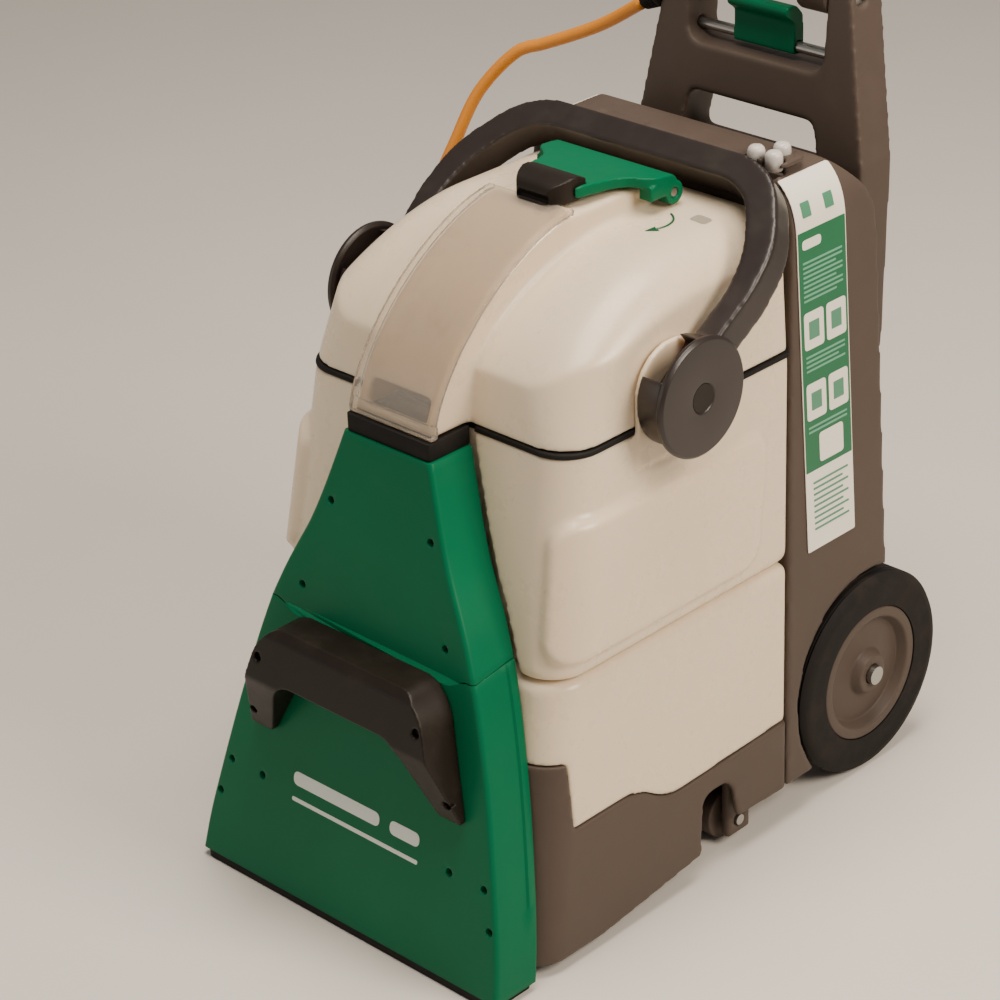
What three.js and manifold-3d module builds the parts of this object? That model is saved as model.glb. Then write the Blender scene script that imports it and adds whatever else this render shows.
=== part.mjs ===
// Upright self-contained carpet extractor: nozzle, tank with dome lid, motor housing, folding handle.
// Millimetres, +Z up, +X to the right seen from the front, the front faces -Y.
import * as THREE from 'three';
import { mergeVertices } from 'three/addons/utils/BufferGeometryUtils.js';
import Module from 'manifold-3d';

const wasm = await Module();
wasm.setup();

// ---- driving dimensions ----
const GAP = 0.4; // clearance between neighbouring pieces
const WALL = 4; // moulded shell thickness
const NOZZLE_HALF = 145; // half the nozzle's width at the floor
const DUCT_DEPTH = 38; // front to back through the nozzle duct
const DUCT_HALF = 38; // half-width of the duct where it meets the lid
const BASE_TOP = 148;
const CASING_TOP = 203.8; // top of the lower casing, under the tank
const SPLIT_Z = 208; // joint between the two nozzle mouldings
const RIM_Z = 356; // joint between tank and lid
const LID_REAR = 326;
const HOUSING_TOP = 479;
const HOUSING_REAR = 424;
const WHEEL = { y: 403, r: 78, inner: 108, outer: 141 };
const ROLLER = { y: 262, r: 19, inner: 110, outer: 122 };
const BRUSH = { y: 88, z: 29, r: 27 };
const BRUSH_MOTOR = { y: 168, z: 46 };
const ARCH = { y: 201.3, z: 376.9, lean: 52, inner: 128.5, outer: 147.5 };
const LATCH_PIN = { y: 292, z: 470 };
const FOLD = { y: 452, z: 562 }; // axis that the upper handle folds about
const LEVER = { y: 452, z: 517 }; // axis of the fold's release lever
const LEAN = 0.1; // the handle leans back this much per unit of height
const GRIP_TOP = 1095;
const TRIGGER = { y: 513, z: GRIP_TOP - 44 }; // axis of the spray trigger
const CORD_R = 4.75;
const COIL = { x: -170, y: 560, r: 66.5, turns: 4 }; // r: middle of the wound ring
const PLUG_TURN = 70; // degrees, the plug lies on the coil

const halfWidth = (z) => 124 + 0.06 * (RIM_Z - z); // drafted sides of the whole body
const faceY = (z) => 0.208 * z - 0.000052 * z * z; // nozzle's front face
const bodyFront = (z) => faceY(z) + DUCT_DEPTH + GAP;
const bodyRear = (z) => 301 + 0.073 * z; // joint between tank side and motor housing

// ---- colours ----
const COLOURS = {
  green: { color: 0x006b45, roughness: 0.35 },
  ivory: { color: 0xe2d9c6, roughness: 0.45 },
  grey: { color: 0x6c6058, roughness: 0.6 },
  dark: { color: 0x2a211d, roughness: 0.5 },
  arch: { color: 0x463a36, roughness: 0.45 },
  black: { color: 0x141312, roughness: 0.8 },
  clear: { color: 0xc9d2d4, roughness: 0.1 },
  steel: { color: 0xa8a8a6, roughness: 0.3, metalness: 1 },
  cord: { color: 0xc8822a, roughness: 0.5 },
  white: { color: 0xe9e5da, roughness: 0.5 },
};

// ---- solids: each helper returns a manifold solid ----
function solid(geometry) {
  const bare = geometry.clone();
  bare.deleteAttribute('normal');
  bare.deleteAttribute('uv');
  const merged = mergeVertices(bare, 1e-4);
  return new wasm.Manifold(new wasm.Mesh({
    numProp: 3,
    vertProperties: new Float32Array(merged.attributes.position.array),
    triVerts: new Uint32Array(merged.index.array),
  }));
}

function geometryOf(shape) {
  const mesh = shape.getMesh();
  const geometry = new THREE.BufferGeometry();
  geometry.setAttribute('position', new THREE.BufferAttribute(new Float32Array(mesh.vertProperties), 3));
  geometry.setIndex(new THREE.BufferAttribute(new Uint32Array(mesh.triVerts), 1));
  geometry.computeVertexNormals();
  return geometry;
}

const union = (...shapes) => shapes.reduce((sum, shape) => sum.add(shape));
const cut = (shape, ...tools) => tools.reduce((rest, tool) => rest.subtract(tool), shape);

function box(x0, x1, y0, y1, z0, z1) {
  const geometry = new THREE.BoxGeometry(x1 - x0, y1 - y0, z1 - z0);
  return solid(geometry.translate((x0 + x1) / 2, (y0 + y1) / 2, (z0 + z1) / 2));
}

// outline with rounded corners: points are [a, b] or [a, b, radius]
function outline(points, radius = 0) {
  const shape = new THREE.Shape();
  const corners = points.map((p) => ({ at: new THREE.Vector2(p[0], p[1]), r: p[2] ?? radius }));
  corners.forEach(({ at, r }, i) => {
    const last = corners.at(i - 1).at;
    const next = corners[(i + 1) % corners.length].at;
    const reach = Math.min(r, at.distanceTo(last) / 2.01, at.distanceTo(next) / 2.01);
    const from = at.clone().addScaledVector(last.clone().sub(at).normalize(), reach);
    const to = at.clone().addScaledVector(next.clone().sub(at).normalize(), reach);
    if (i) shape.lineTo(from.x, from.y);
    else shape.moveTo(from.x, from.y);
    if (reach > 0.01) shape.quadraticCurveTo(at.x, at.y, to.x, to.y);
  });
  shape.closePath();
  return shape;
}

const mirrored = (right) => [...right, ...right.toReversed().map(([a, b, r]) => [-a, b, r])];

const TURN = {
  x: new THREE.Matrix4().makeBasis(
    new THREE.Vector3(0, 1, 0), new THREE.Vector3(0, 0, 1), new THREE.Vector3(1, 0, 0)),
  y: new THREE.Matrix4().makeBasis(
    new THREE.Vector3(1, 0, 0), new THREE.Vector3(0, 0, 1), new THREE.Vector3(0, -1, 0)),
  z: new THREE.Matrix4(),
};

// an outline drawn square to an axis and extruded along it, from low to high
function prism(axis, shape, low, high, options = {}) {
  const { steps = 1, bevel = 0, curves = 3 } = options;
  const geometry = new THREE.ExtrudeGeometry(shape, {
    depth: high - low - 2 * bevel,
    steps,
    curveSegments: curves,
    bevelEnabled: bevel > 0,
    bevelThickness: bevel,
    bevelSize: bevel,
    bevelOffset: -bevel,
    bevelSegments: 1,
  });
  geometry.translate(0, 0, bevel).applyMatrix4(TURN[axis]);
  const shift = axis === 'y' ? high : low;
  return geometry.translate(axis === 'x' ? shift : 0, axis === 'y' ? shift : 0, axis === 'z' ? shift : 0);
}

const slab = (...given) => solid(prism(...given));

function deformed(geometry, move) {
  const place = geometry.attributes.position;
  const v = new THREE.Vector3();
  for (let i = 0; i < place.count; i += 1) {
    move(v.fromBufferAttribute(place, i));
    place.setXYZ(i, v.x, v.y, v.z);
  }
  return geometry;
}

function rod(axis, r, low, high, a, b, sides = 32) {
  const geometry = new THREE.CylinderGeometry(r, r, high - low, sides);
  const middle = (low + high) / 2;
  if (axis === 'x') geometry.rotateZ(Math.PI / 2).translate(middle, a, b);
  if (axis === 'y') geometry.translate(a, middle, b);
  if (axis === 'z') geometry.rotateX(Math.PI / 2).translate(a, b, middle);
  return solid(geometry);
}

// a turned piece: profile of [radius, x] pairs, round the X axis through (y, z)
function turned(profile, y, z, sides = 40) {
  const geometry = new THREE.LatheGeometry(profile.map(([r, x]) => new THREE.Vector2(r, x)), sides);
  return solid(geometry.rotateZ(-Math.PI / 2).translate(0, y, z));
}

// drafted block with rounded plan corners: the body's outer surface moved in by inset
function body(z0, z1, inset = 0, rear = bodyRear) {
  const [half, depth] = [130, 240];
  const plan = outline(mirrored([[half, 0, 25], [half, depth, 6]]));
  const geometry = prism('z', plan, z0, z1, { steps: z1 - z0 > 60 ? 4 : 1 });
  return solid(deformed(geometry, (v) => {
    const front = bodyFront(v.z) + inset;
    v.x *= (halfWidth(v.z) - inset) / half;
    v.y = front + (v.y / depth) * (rear(v.z) - inset - front);
  }));
}

const superellipse = (a, b, power, from, to, count) => Array.from({ length: count + 1 }, (_, i) => {
  const t = from + ((to - from) * i) / count;
  return [a * Math.cos(t) ** (2 / power), b * Math.sin(t) ** (2 / power)];
});

// ---- assembly ----
const machine = new THREE.Group();

function add(name, shape, colour) {
  const material = new THREE.MeshStandardMaterial({ metalness: 0, ...COLOURS[colour] });
  const mesh = new THREE.Mesh(geometryOf(shape), material);
  mesh.name = name;
  machine.add(mesh);
}

const SIDES = { right: 1, left: -1 };
const flip = (shape, side) => {
  if (side > 0) return shape;
  const geometry = geometryOf(shape).applyMatrix4(new THREE.Matrix4().makeScale(-1, 1, 1));
  geometry.index.array.reverse();
  return solid(geometry);
};

// ---- nozzle: two green mouldings, seal, lips, carry handle, spray bar ----
function nozzleOutline(z0, z1, grow = 0) {
  const edge = new THREE.SplineCurve([
    [NOZZLE_HALF, 6], [138.5, 50], [115.5, 150], [89.5, 225], [61, 287], [DUCT_HALF, 352],
  ].map(([x, z]) => new THREE.Vector2(x + grow, z)));
  const side = edge.getPoints(16).map((p) => [p.x, p.y]).filter(([, z]) => z > z0 && z < z1);
  const at = (z) => side.reduce((best, p) => (Math.abs(p[1] - z) < Math.abs(best[1] - z) ? p : best))[0];
  return outline(mirrored([[at(z0), z0], ...side, [at(z1), z1]]));
}

function nozzleSlice(z0, z1, inset) {
  const geometry = prism('y', nozzleOutline(z0, z1, -inset), inset, DUCT_DEPTH - inset);
  return deformed(geometry, (v) => { v.y += faceY(v.z); });
}

function addNozzle() {
  const lower = cut(solid(nozzleSlice(6, SPLIT_Z - GAP, 0)), solid(nozzleSlice(-1, 230, WALL)));
  add('nozzle_lower', lower, 'green');
  const upper = cut(solid(nozzleSlice(SPLIT_Z, 344.5, 0)), solid(nozzleSlice(190, 360, WALL)));
  add('nozzle_upper', upper, 'green');
  const seal = prism('z', outline(mirrored([[DUCT_HALF, 67.5, 4], [DUCT_HALF, 105.5, 4]])), 345, 357.4);
  const bore = prism('z', outline(mirrored([[31, 75, 4], [31, 98, 4]])), 340, 360);
  add('nozzle_seal', cut(solid(seal), solid(bore)), 'black');
  const lip = slab('z', outline(mirrored([[141, 1.5, 6], [141, 39, 3]])), 0, 6 - GAP);
  add('suction_lip', cut(lip, box(-133, 133, 9, 33, -5, 10)), 'black');
}

function addFrontHandle() {
  const grip = outline([
    ...mirrored([[102, 119, 6], [78, 194, 18], [62, 209, 10]]),
    ...mirrored([[48, 166, 12], [60, 156, 10], [80, 119, 6]]).toReversed(),
  ]);
  const proud = (z) => 3 + 27 * THREE.MathUtils.smoothstep(z, 112, 172);
  const shell = prism('y', grip, 0, 1);
  const bar = solid(deformed(shell, (v) => { v.y = faceY(v.z) - GAP - (1 - v.y) * proud(v.z); }));
  const finger = prism('y', outline(mirrored([[54, 120, 4], [54, 196, 8]])), 0, 24, { steps: 2 });
  add('front_handle', cut(bar, solid(deformed(finger, (v) => { v.y += faceY(v.z) - 16.5; }))), 'dark');
}

function addBrush() {
  const { y, z, r } = BRUSH;
  const core = [[0, -128], [18, -128], [18, -118.4], [14, -118.4], [14, 118], [0, 118]];
  const tufts = [[14.4, -116], [r, -114], [r, 114], [14.4, 116], [14.4, -116]];
  add('brush_core', turned(core, y, z, 24), 'dark');
  add('brush_bristles', turned(tufts, y, z, 24), 'green');
  const pulley = [[0, -128], [9, -128], [9, -118.4], [0, -118.4]];
  const can = [[0, -118], [16, -118], [26, -112], [26, -50], [0, -50]];
  add('motor_pulley', turned(pulley, BRUSH_MOTOR.y, BRUSH_MOTOR.z, 20), 'black');
  add('brush_motor', turned(can, BRUSH_MOTOR.y, BRUSH_MOTOR.z, 24), 'steel');
  const wide = beltOutline(20.4, 11.4);
  wide.holes.push(beltOutline(18.3, 9.3));
  add('drive_belt', slab('x', wide, -127, -119.4, { curves: 5 }), 'black');
  add('spray_bar', union(
    rod('x', 5, -110, 110, 63, 63, 12),
    ...[-90, -30, 30, 90].map((x) => box(x - 4, x + 4, 59, 67, 51, 60)),
  ), 'grey');
}

// belt round both pulleys: the tangent outline of two circles in the YZ plane
function beltOutline(large, small) {
  const [dy, dz] = [BRUSH_MOTOR.y - BRUSH.y, BRUSH_MOTOR.z - BRUSH.z];
  const along = Math.atan2(dz, dy);
  const wrap = Math.acos((large - small) / Math.hypot(dy, dz));
  const shape = new THREE.Shape();
  shape.absarc(BRUSH.y, BRUSH.z, large, along + wrap, along - wrap + 2 * Math.PI, false);
  shape.absarc(BRUSH_MOTOR.y, BRUSH_MOTOR.z, small, along - wrap, along + wrap, false);
  shape.closePath();
  return shape;
}

// ---- grey base, ivory lower casing, pump ----
const SKIRT = [[150, 100], [178, 80], [310, 84]]; // lower edge of the ivory casing, seen from the side

function addBase() {
  const side = outline([
    [30, 8], [106, 8], [200, 19], [209, 20, 4], [214, 64, 12], [244, 64, 12], [249, 31, 4], [320, 30],
    [320, 84 - GAP], ...SKIRT.toReversed().slice(1).map(([y, z]) => [y, z - GAP, 20]),
    [86, 100 - GAP], [86, BASE_TOP], [30, BASE_TOP],
  ]);
  const outer = body(6, 150, 0, (z) => bodyRear(z) - GAP).intersect(slab('x', side, -160, 160));
  const inner = body(-1, 74, WALL);
  const lugs = [-1, 1].map((s) => union(
    box(s * 102 - 4, s * 102 + 4, 250, 274, 8, 76),
    box(s * 130 - 4, s * 130 + 4, 250, 274, 8, 76),
  ));
  const bores = rod('x', 4.4, -136, 136, ROLLER.y, ROLLER.r, 20);
  add('base_shell', cut(union(cut(outer, inner), ...lugs), bores), 'grey');
  for (const [name, s] of Object.entries(SIDES)) {
    const ends = [s * ROLLER.inner, s * ROLLER.outer].sort((a, b) => a - b);
    const profile = [[4.4, ends[0]], [ROLLER.r, ends[0]], [ROLLER.r, ends[1]], [4.4, ends[1]],
      [4.4, ends[0]]];
    add(`roller_${name}`, turned(profile, ROLLER.y, ROLLER.r, 28), 'grey');
  }
  add('roller_axle', rod('x', 4, -135, 135, ROLLER.y, ROLLER.r, 16), 'steel');
}

function addCasing() {
  const side = outline([
    [86 + GAP, 100, 0], ...SKIRT.slice(0, 2).map(([y, z]) => [y, z, 20]), [340, 85], [340, CASING_TOP],
    [30, CASING_TOP], [30, BASE_TOP + GAP], [86 + GAP, BASE_TOP + GAP],
  ]);
  const outer = body(70, CASING_TOP, 0, (z) => bodyRear(z) - GAP).intersect(slab('x', side, -160, 160));
  add('lower_casing', cut(outer, body(60, 210, WALL)), 'ivory');
  add('water_pump', union(rod('x', 22, -70, 10, 220, 106), box(9, 44, 202, 238, 86, 124)), 'dark');
}

// ---- tank: shell, gasket, bladder, float ----
// room behind the nozzle: the nozzle leans back, so it is deeper where the nozzle is still wide near its top
function tankChannel(extra) {
  const seat = slab('y', nozzleOutline(195, 345, 2.5 + extra), -10, 120);
  const depth = outline(mirrored([[130, -10], [130, 92 + extra], [72 + extra, 92 + extra],
    [64 + extra, 98 + extra], [42 + extra, 108.5 + extra]]));
  const slot = box(-42 - extra, 42 + extra, -10, 108.5 + extra, 190, 370);
  return union(seat.intersect(slab('z', depth, 190, 350)), slot);
}

function addTank() {
  const rear = (z) => bodyRear(z) - GAP;
  const outer = cut(body(CASING_TOP + GAP, 354, 0, rear), tankChannel(0));
  const inner = cut(body(CASING_TOP + WALL, 362, WALL, rear), tankChannel(WALL));
  const plate = prism('x', outline([[112, 216, 22], [300, 216, 22], [304, 316, 22], [120, 316, 22]]), 0, 1);
  const panel = solid(deformed(plate, (v) => { v.x = halfWidth(v.z) - 3 + v.x * 11; }));
  const ears = Object.values(SIDES).map((s) => union(
    rod('x', 34, Math.min(s * 124, s * 127.8), Math.max(s * 124, s * 127.8), ARCH.y, ARCH.z, 36),
    box(Math.min(s * 124, s * 127.8), Math.max(s * 124, s * 127.8), ARCH.y - 34, ARCH.y + 34, 330, ARCH.z),
  ));
  const bore = rod('x', 6.4, -140, 140, ARCH.y, ARCH.z, 20);
  add('tank_shell', cut(union(cut(outer, inner), panel, flip(panel, -1), ...ears), bore), 'ivory');
  const ring = cut(body(354.3, 357.6, GAP, rear), body(350, 360, 6, rear));
  add('tank_gasket', cut(ring, box(-42, 42, -10, 108.5, 350, 362)), 'black');
  const bag = prism('z', outline(mirrored([[108, 122, 30], [108, 300, 30]])), 212, 296, { bevel: 10 });
  add('clean_bladder', solid(bag), 'clear');
  const cage = [[26, 300], [26, 352], [23.5, 352], [23.5, 300], [26, 300]];
  add('float_cage', turnedZ(cage, 0, 268), 'grey');
  add('float_ball', solid(new THREE.SphereGeometry(19, 16, 10).translate(0, 268, 322)), 'white');
}

function turnedZ(profile, x, y, sides = 28) {
  const geometry = new THREE.LatheGeometry(profile.map(([r, z]) => new THREE.Vector2(r, z)), sides);
  return solid(geometry.rotateX(Math.PI / 2).translate(x, y, 0));
}

// ---- dome lid, clear duct cover, latch ----
function shoulders(inset) {
  const section = outline(mirrored([[1, 0], [1, 0.6, 0.0], [0.93, 0.86, 0.0], [0.74, 1, 0.0]]));
  const loaf = prism('y', section, 98 + inset, LID_REAR - inset, { steps: 14 });
  return solid(deformed(loaf, (v) => {
    const t = Math.min(1, (v.y - 98) / (242 - 98));
    const top = 364 + 90 * (1 - (1 - t) ** 1.72) ** (1 / 1.72);
    v.x *= 125 - inset;
    v.z = 358 - 20 * Math.sign(inset) + v.z * (top - inset - 358 + 20 * Math.sign(inset));
  })).intersect(body(330, 490, inset, () => LID_REAR));
}

function ridgeOutline(reach, rise, rearZ) {
  const curve = superellipse(reach, rise, 1.6, 0, Math.PI / 2, 10).map(([a, b]) => [209 - a, RIM_Z + b]);
  return outline([...curve, [300, rearZ], [308, rearZ - 17], [LID_REAR, rearZ - 19], [LID_REAR, 340],
    [209 - reach, 340]]);
}

function addLid() {
  const ridge = slab('x', ridgeOutline(134, 114, 470), -36, 36);
  const inside = box(-40, 40, 60, LID_REAR - 4, 330, 480);
  const hollow = slab('x', ridgeOutline(128, 110, 466), -32, 32).intersect(inside);
  const skin = union(shoulders(0), ridge.intersect(box(-40, 40, 40, LID_REAR, 358, 490)));
  const pin = rod('x', 3.5, -60, 60, LATCH_PIN.y, LATCH_PIN.z - 6, 16);
  const window = box(-25, 25, 60, 150, 385, 500);
  add('dome_lid', cut(skin, shoulders(WALL), hollow, pin, window), 'ivory');
  const rim = superellipse(139, 118.4, 1.6, 0, Math.PI / 2, 12).map(([a, b]) => [209 - a, RIM_Z + b]);
  const under = superellipse(134.6, 114.5, 1.6, 0, Math.PI / 2, 12).map(([a, b]) => [209 - a, RIM_Z + b]);
  const cover = slab('x', outline([...rim, ...under.toReversed()]), -DUCT_HALF, DUCT_HALF);
  add('duct_cover', cover.intersect(box(-60, 60, 0, 208.6, 358, 500)), 'clear');
}

function addLatch() {
  const [y, z] = [LATCH_PIN.y, LATCH_PIN.z - 6];
  const side = outline([
    [y + 7, z], [y, z + 14, 6], [222, 484.5, 4], [214, 481, 2], [216, 476.5], [y - 8, 472]]);
  const plate = slab('x', side, -52, 52);
  const cheeks = [-1, 1].map((s) => {
    const ends = [s * 41, s * 52].sort((a, b) => a - b);
    return union(rod('x', 8.5, ends[0], ends[1], y, z, 24), box(ends[0], ends[1], y - 24, y, z, z + 10));
  });
  const bore = rod('x', 3.5, -60, 60, y, z, 16);
  const clearance = rod('x', 11, -37, 37, y, z, 24);
  const seat = box(-18, 28, 200, 232, 470, 500);
  add('lid_latch', cut(union(plate, ...cheeks), bore, clearance, seat), 'green');
  const thumb = outline([[203, 476, 3], [231.6, 476], [231.6, 486], [222, 489, 4], [203, 484, 4]]);
  add('latch_grip', slab('x', thumb, -17.6, 27.6, { bevel: 1 }), 'black');
  add('latch_pin', rod('x', 3, -51, 51, y, z, 16), 'steel');
}

// ---- carry arch with its two side discs ----
function addArch() {
  const { inner, outer } = ARCH;
  const bow = outline([
    ...mirrored([[outer, 0], [outer, 46, 14], [outer + 3, 72, 24], [outer - 1, 112, 40], [110, 167, 60]]),
    ...mirrored([[inner, 0], [inner, 46, 14], [inner + 3, 68, 24], [inner - 2, 100, 36], [98, 147, 48]])
      .toReversed(),
  ]);
  const hub = Object.values(SIDES).map((s) => {
    const ends = [s * inner, s * outer].sort((a, b) => a - b);
    return rod('x', 37, ends[0], ends[1], 0, 0, 40);
  });
  const bore = rod('x', 6.4, -150, 150, 0, 0, 20);
  const notch = box(-150, 150, -50, -18, -10, 26);
  const arch = cut(union(slab('y', bow, -12, 12, { bevel: 4, curves: 4 }), ...hub), bore, notch);
  const geometry = geometryOf(arch).rotateX(-THREE.MathUtils.degToRad(ARCH.lean));
  add('carry_arch', solid(geometry.translate(0, ARCH.y, ARCH.z)), 'arch');
  const profile = [[6.4, 148], [38.5, 148], [41.3, 150], [41.3, 152], [39, 154], [10.5, 154], [10.5, 151.6],
    [6.4, 151.6], [6.4, 148]];
  const pin = [[0, 124.2], [6, 124.2], [6, 152], [10, 152], [10, 153.4], [0, 153.4]];
  for (const [name, s] of Object.entries(SIDES)) {
    add(`arch_disc_${name}`, flip(turned(profile, ARCH.y, ARCH.z, 32), s), 'arch');
    add(`arch_pin_${name}`, flip(turned(pin, ARCH.y, ARCH.z, 16), s), 'dark');
  }
}

// ---- motor housing, labels, switches, wheels ----
const HOUSING_CORNER = 38;
const BUTTONS = { front: [92, 346], back: [86, 362], inner: [76, 347] };
const BUTTON_LOW = 473.8;
const BUTTON_TRAVEL = 3;
const buttonWells = () => {
  const foot = BUTTON_LOW - BUTTON_TRAVEL - GAP;
  return Object.values(BUTTONS).map(([x, y]) => rod('z', 7, foot, 500, x, y, 20));
};

function housingSection(inset, low) {
  return outline(mirrored([
    [halfWidth(low) - inset, low, 0],
    [halfWidth(HOUSING_TOP) - inset, HOUSING_TOP - inset, HOUSING_CORNER * 1.2 - inset],
  ]));
}

function housingSide(inset) {
  return outline([
    [bodyRear(30) + GAP + inset, 30 + inset], [bodyRear(462) + GAP + inset, 462, 4],
    [343, HOUSING_TOP - inset, 4],
    [382, HOUSING_TOP - inset, 24], [HOUSING_REAR - inset, 440, 24], [HOUSING_REAR - inset, 30 + inset, 12],
  ]);
}

function addHousing() {
  const outer = slab('x', housingSide(0), -160, 160).intersect(slab('y', housingSection(0, 30), 290, 440));
  const room = slab('x', housingSide(WALL), -96, 96)
    .add(slab('x', housingSide(WALL), -160, 160).intersect(box(-160, 160, 290, 440, 174, 500)));
  const cavity = room.intersect(slab('y', housingSection(WALL + 2, 30), 290, 440));
  const back = slab('y', outline(mirrored([[90, 45, 10], [90, 176], [108, 190], [96, 424, 10]])), 400, 440);
  const wells = rod('x', 83, -200, 200, WHEEL.y, WHEEL.r, 48).subtract(box(-104, 104, 200, 600, -100, 300));
  const bore = rod('x', 7.4, -120, 120, WHEEL.y, WHEEL.r, 20);
  const bezel = outline(mirrored([[18, -12, 8], [18, 16, 8]]));
  const plate = solid(prism('z', bezel, HOUSING_TOP - 2, HOUSING_TOP + 2.4).translate(85, 353, 0));
  const shell = cut(union(cut(outer, cavity, back, wells, bore), plate), ...buttonWells());
  add('rear_housing', shell, 'grey');
  const cover = slab('y', outline(mirrored([[96, 40, 12], [96, 176, 6], [114, 190, 6], [101, 432, 14]])),
    HOUSING_REAR + GAP, HOUSING_REAR + 4.2);
  const louvres = [230, 246, 262, 278].map((z) => box(-60, 60, HOUSING_REAR + 2.4, 440, z, z + 7));
  add('rear_cover', cut(cover, ...louvres), 'grey');
}

function addSwitches() {
  for (const [name, [x, y]] of Object.entries(BUTTONS)) {
    const profile = [[0, BUTTON_LOW], [6.2, BUTTON_LOW], [6.2, 483.5], [4.6, 486.4], [0, 487.4]];
    add(`switch_${name}`, turnedZ(profile, x, y, 20), 'clear');
  }
}

function addLabels() {
  const low = 200;
  const sheet = slab('y', housingSection(-1.2, low), 336, 388).subtract(
    slab('y', housingSection(-GAP, low - 20), 320, 396));
  for (const [name, s] of Object.entries(SIDES)) {
    const half = box(Math.min(s * 101, s * 200), Math.max(s * 101, s * 200), 300, 420, low + 2, 490);
    add(`side_label_${name}`, sheet.intersect(half), 'white');
  }
}

function addMotor() {
  const y = 374;
  add('vacuum_motor', rod('z', 42, 232, 300, 0, y, 32).add(rod('z', 28, 299, 318, 0, y, 24)), 'steel');
  const blades = Array.from({ length: 9 }, (_, i) => {
    const blade = new THREE.BoxGeometry(27, 3, 14).translate(25, 0, 0);
    return solid(blade.rotateZ((i * 2 * Math.PI) / 9).translate(0, y, 214));
  });
  const fan = union(rod('z', 42, 203, 207.2, 0, y, 32), rod('z', 13, 207, 227, 0, y, 16), ...blades);
  add('vacuum_fan', fan, 'steel');
}

function addWheels() {
  const { y, r, inner, outer } = WHEEL;
  add('wheel_axle', rod('x', 7, -146, 146, y, r, 24), 'steel');
  const rim = 52;
  const tyre = [[rim, inner], [r - 5, inner], [r, inner + 5], [r, outer - 5], [r - 5, outer],
    [rim, outer], [rim, inner]];
  const hub = [[7.4, inner], [20, inner], [20, inner + 4], [44, inner + 8], [rim - GAP, inner],
    [rim - GAP, outer - 1], [44, outer - 1], [40, outer - 9], [18, outer - 6], [14, outer + 1],
    [7.4, outer + 1], [7.4, inner]];
  for (const [name, s] of Object.entries(SIDES)) {
    add(`wheel_tyre_${name}`, flip(turned(tyre, y, r, 32), s), 'black');
    add(`wheel_hub_${name}`, flip(turned(hub, y, r, 24), s), 'grey');
  }
}

// ---- handle: fixed frame, release lever, folding upper handle with grip and trigger ----
function frameShape(points, depth = 34) {
  const leaning = (v) => { v.y += 429 + LEAN * (v.z - 450); };
  return solid(deformed(prism('y', outline(points), 0, depth, { steps: 1, curves: 4 }), leaning));
}

function addFrame() {
  const root = slab('y', outline(mirrored([[97, 300, 10], [101.5, 450]])), 429, 463);
  const plate = frameShape(mirrored([[101.5, 450], [82, 558], [78, FOLD.z + 19, 14]]));
  const window = frameShape(mirrored([[64, 438, 6], [56, 474, 6]]), 60).translate(0, -10, 0);
  const fork = frameShape(mirrored([[61, 508, 12], [61, 640]]), 60).translate(0, -10, 0);
  const behind = box(-80, 80, 445, 480, 310, 430);
  const bores = union(
    rod('x', 5.4, -100, 100, FOLD.y, FOLD.z, 20), rod('x', 4.4, -70, 70, LEVER.y, LEVER.z, 16));
  const rear = 463 + LEAN * (500 - 450);
  const hook = slab('x', outline([[rear - 3, 478], [rear - 3, 500], [rear + 24, 500], [rear + 24, 478, 2],
    [rear + 19, 478, 2], [rear + 19, 495], [rear + 8, 495], [rear + 8, 478]]), -12, 12);
  add('handle_frame', cut(union(root, plate, hook), window, fork, behind, bores), 'grey');
  add('fold_pin', rod('x', 5, -78, 78, FOLD.y, FOLD.z, 20), 'steel');
  add('lever_axle', rod('x', 4, -66, 66, LEVER.y, LEVER.z, 16), 'steel');
  const { y, z } = LEVER;
  const lever = outline([[y - 6, z - 5, 3], [y + 6, z - 5, 3], [y + 5, z + 22], [y - 2, z + 31, 3],
    [y - 13, z + 31, 4], [y - 14, z + 25, 4], [y - 5, z + 18]]);
  add('release_lever', cut(slab('x', lever, -27, 27), rod('x', 4.4, -40, 40, y, z, 16)), 'green');
}

function handleShape(points, y0, y1, options) {
  const leaning = (v) => { v.y += LEAN * (v.z - FOLD.z); };
  return solid(deformed(prism('y', outline(points), y0, y1, options), leaning));
}

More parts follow.
